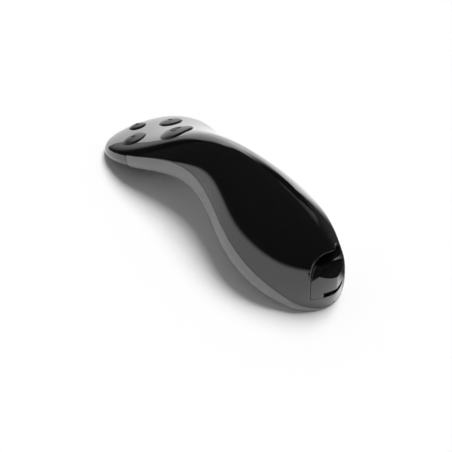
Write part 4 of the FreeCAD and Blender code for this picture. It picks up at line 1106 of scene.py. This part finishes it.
# %% A recipe
class Recipe:
    """A node tree under construction, for a material or for the world."""

    def __init__(self, owner):
        owner.use_nodes = True
        self.owner = owner
        self.tree = owner.node_tree
        self.tree.nodes.clear()

    def node(self, kind, settings=None, sockets=None, output=0):
        """Add a node, set its settings, then set or link its sockets, and return one output."""
        node = self.tree.nodes.new(kind)
        for name, setting in (settings or {}).items():
            setattr(node, name, setting)
        for name, value in (sockets or {}).items():
            if isinstance(value, Value):
                self.tree.links.new(value.socket, node.inputs[name])
            else:
                node.inputs[name].default_value = value
        return Value(self, node.outputs[output]) if node.outputs else None

    def place(self):
        """The position on the object, in metres, as it lies at rest."""
        return self.node("ShaderNodeTexCoord", output="Object")

    def parts(self, vector):
        """The three parts of a vector."""
        return [self.node("ShaderNodeSeparateXYZ", None, {0: vector}, i) for i in range(3)]

    def noise(self, scale, detail=2.0, stretch=(1, 1, 1)):
        """A cloudy pattern between zero and one."""
        mapped = self.node("ShaderNodeMapping", None, {"Vector": self.place(), "Scale": stretch})
        sockets = {"Vector": mapped, "Scale": scale, "Detail": detail}
        return self.node("ShaderNodeTexNoise", None, sockets)

    def mix(self, share, first, second):
        """A blend of two colours."""
        return self.node("ShaderNodeMix", {"data_type": "RGBA"}, {0: share, 6: first, 7: second}, 2)

    def bump(self, height, strength, distance):
        """A surface direction tilted by a height pattern."""
        sockets = {"Height": height, "Strength": strength, "Distance": distance}
        return self.node("ShaderNodeBump", None, sockets)


print("patterns and blends:", [name for name in vars(Recipe) if not name.startswith("__")])

# %% Start and finish a material
GRAIN_DEPTH = 0.00004
materials = {}


def grey(level):
    """A neutral colour."""
    return (level, level, level, 1)


def start(name):
    """A recipe for a new material, which is noted under its name."""
    materials[name] = bpy.data.materials.new(name)
    return Recipe(materials[name])


def surface(recipe, **looks):
    """Finish a material with one Principled surface. A low line in a look stands for a space."""
    sockets = {look.replace("_", " "): value for look, value in looks.items()}
    shader = recipe.node("ShaderNodeBsdfPrincipled", None, sockets)
    recipe.node("ShaderNodeOutputMaterial", None, {"Surface": shader})


print("a dark grey:", grey(0.02))

# %% [markdown]
# ## Black gloss, silky caps, smoked gloss and satin
# Gloss black is nearly all reflection: a very dark base under a clear coat. A faint cloud in the
# roughness is the trace of handling. The caps are silky, so their highlights are wide and soft. The
# satin tub has a fine even grain, which could be an image, but noise has no repeat and no seams.

# %% The glossy materials
recipe = start("gloss_black")
handling = recipe.noise(55, 3)
surface(
    recipe,
    Base_Color=grey(0.005),
    Roughness=handling * 0.025 + 0.035,
    Coat_Weight=1.0,
    Coat_Roughness=0.015,
)

recipe = start("button_gloss")
handling = recipe.noise(160, 2)
surface(recipe, Base_Color=grey(0.012), Roughness=handling * 0.05 + 0.26)

recipe = start("smoked_window")
handling = recipe.noise(70, 2)
surface(
    recipe,
    Base_Color=grey(0.006),
    Roughness=handling * 0.02 + 0.05,
    Coat_Weight=1.0,
    Coat_Roughness=0.02,
)
print("glossy materials:", sorted(materials))

# %% [markdown]
# The satin tub looks grey because its grain scatters the room's light. Its colour changes a little
# from place to place, as moulded plastic does, and a very shallow bump stands for the grain.

# %% The satin material
recipe = start("satin_graphite")
grain = recipe.noise(2600, 2)
cloud = recipe.noise(60, 2)
surface(
    recipe,
    Base_Color=recipe.mix(cloud, grey(0.26), grey(0.29)),
    Roughness=cloud * 0.06 + 0.42,
    Normal=recipe.bump(grain, 0.25, GRAIN_DEPTH),
)
print("outer materials:", sorted(materials))

# %% [markdown]
# ## What lies inside
# The inner pieces keep their CAD shape and get materials of their own: plain grey plastic, a
# circuit board with tracks, metals, and two cells with a copper band and a dark jacket. They show
# only when a piece is taken off, so each gets one simple pattern.

# %% Plastics, board and glass
recipe = start("inner_plastic")
grain = recipe.noise(1400, 2)
surface(
    recipe,
    Base_Color=recipe.mix(grain, grey(0.10), grey(0.13)),
    Roughness=0.5,
    Normal=recipe.bump(grain, 0.2, GRAIN_DEPTH),
)

recipe = start("circuit_board")
sockets = {"Vector": recipe.place(), "Scale": 420.0}
tracks = recipe.node("ShaderNodeTexVoronoi", {"feature": "DISTANCE_TO_EDGE"}, sockets)
tracks = tracks.above(0.08, 0.12)
board_green = recipe.mix(tracks, (0.06, 0.20, 0.08, 1), (0.012, 0.09, 0.035, 1))
surface(recipe, Base_Color=board_green, Roughness=0.35)

recipe = start("chip_black")
surface(recipe, Base_Color=grey(0.02), Roughness=recipe.noise(900, 2) * 0.1 + 0.5)

recipe = start("lamp_plastic")
surface(recipe, Base_Color=(0.75, 0.72, 0.6, 1), Roughness=recipe.noise(500, 2) * 0.05 + 0.2)

recipe = start("lens_glass")
polished = recipe.noise(500, 2) * 0.02 + 0.03
surface(recipe, Base_Color=(0.55, 0.62, 0.66, 1), Roughness=polished, Coat_Weight=1.0)
print("materials so far:", len(materials))

# %% [markdown]
# A metal takes its colour from its reflection. What tells sheet, wire and turned brass apart is
# how its brushed surface blurs that reflection, so one function makes all five.


# %% Metals
def metal(name, colour, low, high, scale=700, stretch=(1, 1, 1)):
    """A metal whose roughness is brushed between low and high."""
    recipe = start(name)
    brushed = recipe.noise(scale, 3, stretch)
    surface(recipe, Base_Color=(*colour, 1), Metallic=1.0, Roughness=brushed * (high - low) + low)


metal("spring_steel", (0.60, 0.60, 0.58), 0.2, 0.35)
metal("tinned_steel", (0.72, 0.72, 0.71), 0.25, 0.4, 500, (1, 8, 1))
metal("screw_steel", (0.30, 0.30, 0.31), 0.3, 0.45)
metal("barrel_brass", (0.78, 0.58, 0.24), 0.2, 0.35, 500, (1, 8, 1))
metal("contact_gold", (0.95, 0.70, 0.32), 0.15, 0.25)
print("materials so far:", len(materials))

# %% Cells and leads
BAND_EDGE = (-0.0060, -0.0056)
LEADS_EDGE = (-0.0001, 0.0001)

recipe = start("cell_jacket")
band = recipe.parts(recipe.place())[1].above(*BAND_EDGE)
jacket = recipe.mix(band, grey(0.035), (0.62, 0.34, 0.17, 1))
surface(recipe, Base_Color=jacket, Roughness=recipe.noise(300, 2) * 0.05 + 0.28)

recipe = start("lead_jacket")
side = recipe.parts(recipe.place())[0].above(*LEADS_EDGE)
jacket = recipe.mix(side, grey(0.02), (0.45, 0.02, 0.015, 1))
surface(recipe, Base_Color=jacket, Roughness=recipe.noise(400, 2) * 0.05 + 0.4)
print("materials:", len(materials))

# %% [markdown]
# Every piece takes the material that its slot in the CAD record names. The pieces made above carry
# their slot already, and the CAD nodes that stay get theirs here.

# %% Give every piece its material
plain_pieces = ("receiver_bay", "dock_switch", "laser_mount", "battery_tray", "receiver_back")
inner_slots = {
    "inner_plastic": (*plain_pieces, "usb_tongue"),
    "circuit_board": ("main_board", "receiver_board"),
    "chip_black": ("controller_chip", "receiver_chip"),
    "lamp_plastic": ("status_led",),
    "spring_steel": ("snap_domes", "cell_springs", "terminal_plates", "link_plate"),
    "tinned_steel": ("radio_shield", "usb_plug_shell"),
    "screw_steel": ("case_screws",),
    "barrel_brass": ("laser_barrel",),
    "contact_gold": ("usb_contacts",),
    "lens_glass": ("laser_lens",),
    "cell_jacket": ("aaa_cells",),
    "lead_jacket": ("battery_leads",),
}
for slot_name, names in inner_slots.items():
    for name in names:
        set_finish(nodes[name], slot_name)
shown = [upper_shell, lower_shell, nose_cover, battery_door, receiver_case, *caps.values()]
for piece in [*shown, *nodes.values()]:
    slot_name = piece.get("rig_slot", "inner_plastic")
    piece.data.materials.clear()
    piece.data.materials.append(materials[slot_name])
print("pieces made here:", len(shown), "and CAD nodes shown:", sum(len(v) for v in inner_slots.values()))

# %% [markdown]
# ## The studio
# The photograph is a plain product shot on white. The clicker mirrors its surroundings: a dark
# room overhead, a tall bright card beyond its far side, a dim panel on the right, a low bright
# strip on the left, and a white table. Real cards could stand around it, but they would also change
# the light on the table. So these surroundings differ from the white room for reflections only.


# %% Sorting rays
def ray(recipe, kind):
    """One for this kind of ray, else zero."""
    return recipe.node("ShaderNodeLightPath", output=f"Is {kind} Ray")


def lean_on(recipe, direction, axis):
    """How far a direction leans towards an axis."""
    settings = {"operation": "DOT_PRODUCT"}
    return recipe.node("ShaderNodeVectorMath", settings, {0: direction, 1: axis}, 1)


print("rays are sorted by", ray.__name__, "and directions by", lean_on.__name__)

# %% [markdown]
# The floor is pale for the camera. For reflections it is dark behind the tail, further forward on
# the right than on the left, and pale again close behind the tail. Each edge is a line on the
# floor: a place's reach in the line's direction is compared with two distances in metres.

# %% The floor
FLOOR_SIZE = 3.0
PAPER = 0.95
DARK_FLOOR = 0.03
MIDDLE_EDGE = (0.001, -0.001)
LEFT_LINE = (-0.616, 0.788)
LEFT_EDGE = (-0.066, -0.056)
RIGHT_LINE = (0.276, -0.961)
RIGHT_EDGE = (0.054, 0.034)
TAIL_SPOT = (-0.01, -0.088)
TAIL_SPOT_EDGE = (0.036, 0.026)

floor_corners = np.array([(-1, -1, 0), (1, -1, 0), (1, 1, 0), (-1, 1, 0)])
floor = put_mesh("floor", floor_corners * FLOOR_SIZE / MM, [(0, 1, 2, 3)])
recipe = start("table_white")
x, y, _ = recipe.parts(recipe.place())
left_side = x.above(*MIDDLE_EDGE)
left_lit = (x * LEFT_LINE[0] + y * LEFT_LINE[1]).above(*LEFT_EDGE)
right_lit = (x * RIGHT_LINE[0] + y * RIGHT_LINE[1]).above(*RIGHT_EDGE)
lit = left_side * left_lit + (1 - left_side) * right_lit
off_x = x - TAIL_SPOT[0]
off_y = y - TAIL_SPOT[1]
tail_reach = (off_x * off_x + off_y * off_y) ** 0.5
lit = lit.maths("MAXIMUM", tail_reach.above(*TAIL_SPOT_EDGE))
paper = recipe.node("ShaderNodeBsdfDiffuse", None, {"Color": grey(PAPER)})
dark = recipe.node("ShaderNodeBsdfDiffuse", None, {"Color": grey(DARK_FLOOR)})
hidden = ray(recipe, "Glossy") * (1 - lit)
blend = recipe.node("ShaderNodeMixShader", None, {0: hidden, 1: paper, 2: dark})
recipe.node("ShaderNodeOutputMaterial", None, {"Surface": blend})
floor.data.materials.append(recipe.owner)
floor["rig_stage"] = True
print("floor:", FLOOR_SIZE * 2, "m wide")

# %% [markdown]
# The world is white for the camera, dim for the light on the clicker, and nearly black for
# reflections. The low strip and the dim panel are drawn into that dark room: each is the part of
# all directions that leans far enough on certain axes.

# %% The world
DARK_ROOM = 0.03
ROOM_LIGHT = 0.22
PANEL_LEVEL = 0.2
strip_side = ((-0.611, 0.108, -0.785), (0.36, 0.42))
panel_sides = (
    ((0.407, -0.914, 0), (0.0, 0.04)),
    ((-0.079, 0.884, 0.465), (-0.08, -0.02)),
    ((0.85, 0.253, -0.462), (0.0, 0.04)),
)

world = bpy.data.worlds.new("studio")
bpy.context.scene.world = world
recipe = Recipe(world)
direction = recipe.node("ShaderNodeTexCoord", output="Generated")
seen = ray(recipe, "Camera").maths("MAXIMUM", ray(recipe, "Transmission"))
axis, edge = strip_side
low_strip = lean_on(recipe, direction, axis).above(*edge)
dim_panel = PANEL_LEVEL
for axis, edge in panel_sides:
    dim_panel = dim_panel * lean_on(recipe, direction, axis).above(*edge)
seen = seen.maths("MAXIMUM", ray(recipe, "Glossy") * low_strip.maths("MAXIMUM", dim_panel))
room = recipe.mix(ray(recipe, "Diffuse"), grey(DARK_ROOM), grey(ROOM_LIGHT))
colour = recipe.mix(seen, room, grey(1.0))
background = recipe.node("ShaderNodeBackground", None, {"Color": colour})
recipe.node("ShaderNodeOutputWorld", None, {0: background})
print("room light:", ROOM_LIGHT, "and the room in reflections:", DARK_ROOM)

# %% [markdown]
# The far card glows most at its upper right and fades softly at its edges. Only reflections see
# it, so it leaves the light on the table alone. Its pattern is in shares of its distance.

# %% The far card
CARD_REACH = 2.0
CARD_WIDTH = 4.3
CARD_HEIGHT = 2.5
CARD_TURN = math.radians(40)

sine = math.sin(CARD_TURN)
cosine = math.cos(CARD_TURN)
sides = np.array([-0.5, 0.5, 0.5, -0.5])[:, None] * CARD_WIDTH
tops = np.array([0, 0, 1, 1])[:, None] * CARD_HEIGHT
corners = CARD_REACH * np.array([sine, cosine, 0]) + sides * [cosine, -sine, 0] + tops * [0, 0, 1]
card = put_mesh("far_card", corners / MM, [(0, 1, 2, 3)])
card.visible_camera = False
card.visible_diffuse = False
card.visible_transmission = False
card.visible_shadow = False
card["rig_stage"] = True
print("far card:", CARD_WIDTH, "by", CARD_HEIGHT, "m")

# %% [markdown]
# Each fade below is a pair of numbers, where the glow starts to change and where it has changed.
# They were read off by comparing the long mirror images on the hump.

# %% The card's glow
CARD_GLOW = 2.0
GLOW_SLOPE = 0.81
GLOW_BASE = 0.69
SLANT_SHARE = 0.4
SLANT_FADE = (-0.43, -0.34)
LEFT_FADE = (-0.66, -0.5)
END_FADE = (-1.06, -0.76)
RIGHT_LEAN = 0.3
RIGHT_FADE = (0.63, 0.22)
TOP_FADE = (1.24, 0.84)

recipe = start("card_glow")
x, y, z = recipe.parts(recipe.place())
aside = (x * cosine - y * sine) / CARD_REACH
rise = z / CARD_REACH
slant = aside + rise
glow = (slant * GLOW_SLOPE + GLOW_BASE).maths("MINIMUM", 1.0)
slant_edge = slant.above(*SLANT_FADE)
left_edge = slant_edge * SLANT_SHARE + aside.above(*LEFT_FADE) * (1 - SLANT_SHARE)
glow = glow * left_edge.maths("MAXIMUM", slant_edge) * aside.above(*END_FADE)
glow = glow * (aside + rise * RIGHT_LEAN).above(*RIGHT_FADE) * rise.above(*TOP_FADE)
sockets = {"Color": recipe.mix(glow, grey(0.0), grey(1.0)), "Strength": CARD_GLOW}
emission = recipe.node("ShaderNodeEmission", None, sockets)
recipe.node("ShaderNodeOutputMaterial", None, {"Surface": emission})
card.data.materials.append(recipe.owner)
print("the card's glow:", CARD_GLOW)

# %% [markdown]
# ## Lamps
# One wide soft lamp stands high on the right and throws the shadow to the left. The rest of the
# light is the room's own. The lamp stays out of the mirror images.

# %% Lamps
LAMP_FROM = (0.40, 0.10, 0.91)
LAMP_LEVEL = 0.92
LAMP_SPREAD = 34


def soft_sun(name, direction, level, spread):
    """A soft distant lamp from a direction, its spread in degrees. Level 1 shows paper as white."""
    lamp = bpy.data.lights.new(name, "SUN")
    lamp.energy = level * math.pi
    lamp.angle = math.radians(spread)
    lamp_object = bpy.data.objects.new(name, lamp)
    bpy.context.scene.collection.objects.link(lamp_object)
    lamp_object.rotation_euler = Vector(direction).to_track_quat("Z", "Y").to_euler()
    lamp_object.visible_glossy = False


soft_sun("right_lamp", LAMP_FROM, LAMP_LEVEL, LAMP_SPREAD)

# %% [markdown]
# ## The camera
# A camera model fitted to the photograph gave these numbers: it stands behind the tail on the left
# and looks down steeply, close to the body, so the tail looks large.

# %% Camera
aim = Vector((0.0, 0.00275, 0.01775))
back = Vector((-0.49204, -0.56917, 0.65875)).normalized()
CAMERA_REACH = 0.22413
CAMERA_ROLL = 1.7123
LENS_LENGTH = 41.915
SENSOR_WIDTH = 36.0
LENS_SHIFT = (0.0313, -0.1262)
CLIP_START = 0.01

right = Vector((-back.y, back.x, 0)).normalized()
upward = back.cross(right)
roll = math.radians(CAMERA_ROLL)
rolled_right = right * math.cos(roll) + upward * math.sin(roll)
rolled_up = upward * math.cos(roll) - right * math.sin(roll)
turn = Matrix((rolled_right, rolled_up, back)).transposed()
lens = bpy.data.cameras.new("camera")
lens.lens = LENS_LENGTH
lens.sensor_width = SENSOR_WIDTH
lens.shift_x, lens.shift_y = LENS_SHIFT
lens.clip_start = CLIP_START
camera = bpy.data.objects.new("camera", lens)
camera.matrix_world = Matrix.Translation(aim + back * CAMERA_REACH) @ turn.to_4x4()
bpy.context.scene.collection.objects.link(camera)
bpy.context.scene.camera = camera
bpy.context.scene.view_settings.view_transform = "Standard"
print("camera at", [round(v, 4) for v in camera.location])

# %% Compare the sizes
visual_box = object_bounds()
boxes = {"cad": [list(v) for v in cad_box], "visual": [list(v) for v in visual_box]}
for name, (low, high) in boxes.items():
    print(name, [round((b - a) / MM, 2) for a, b in zip(low, high)], "mm")
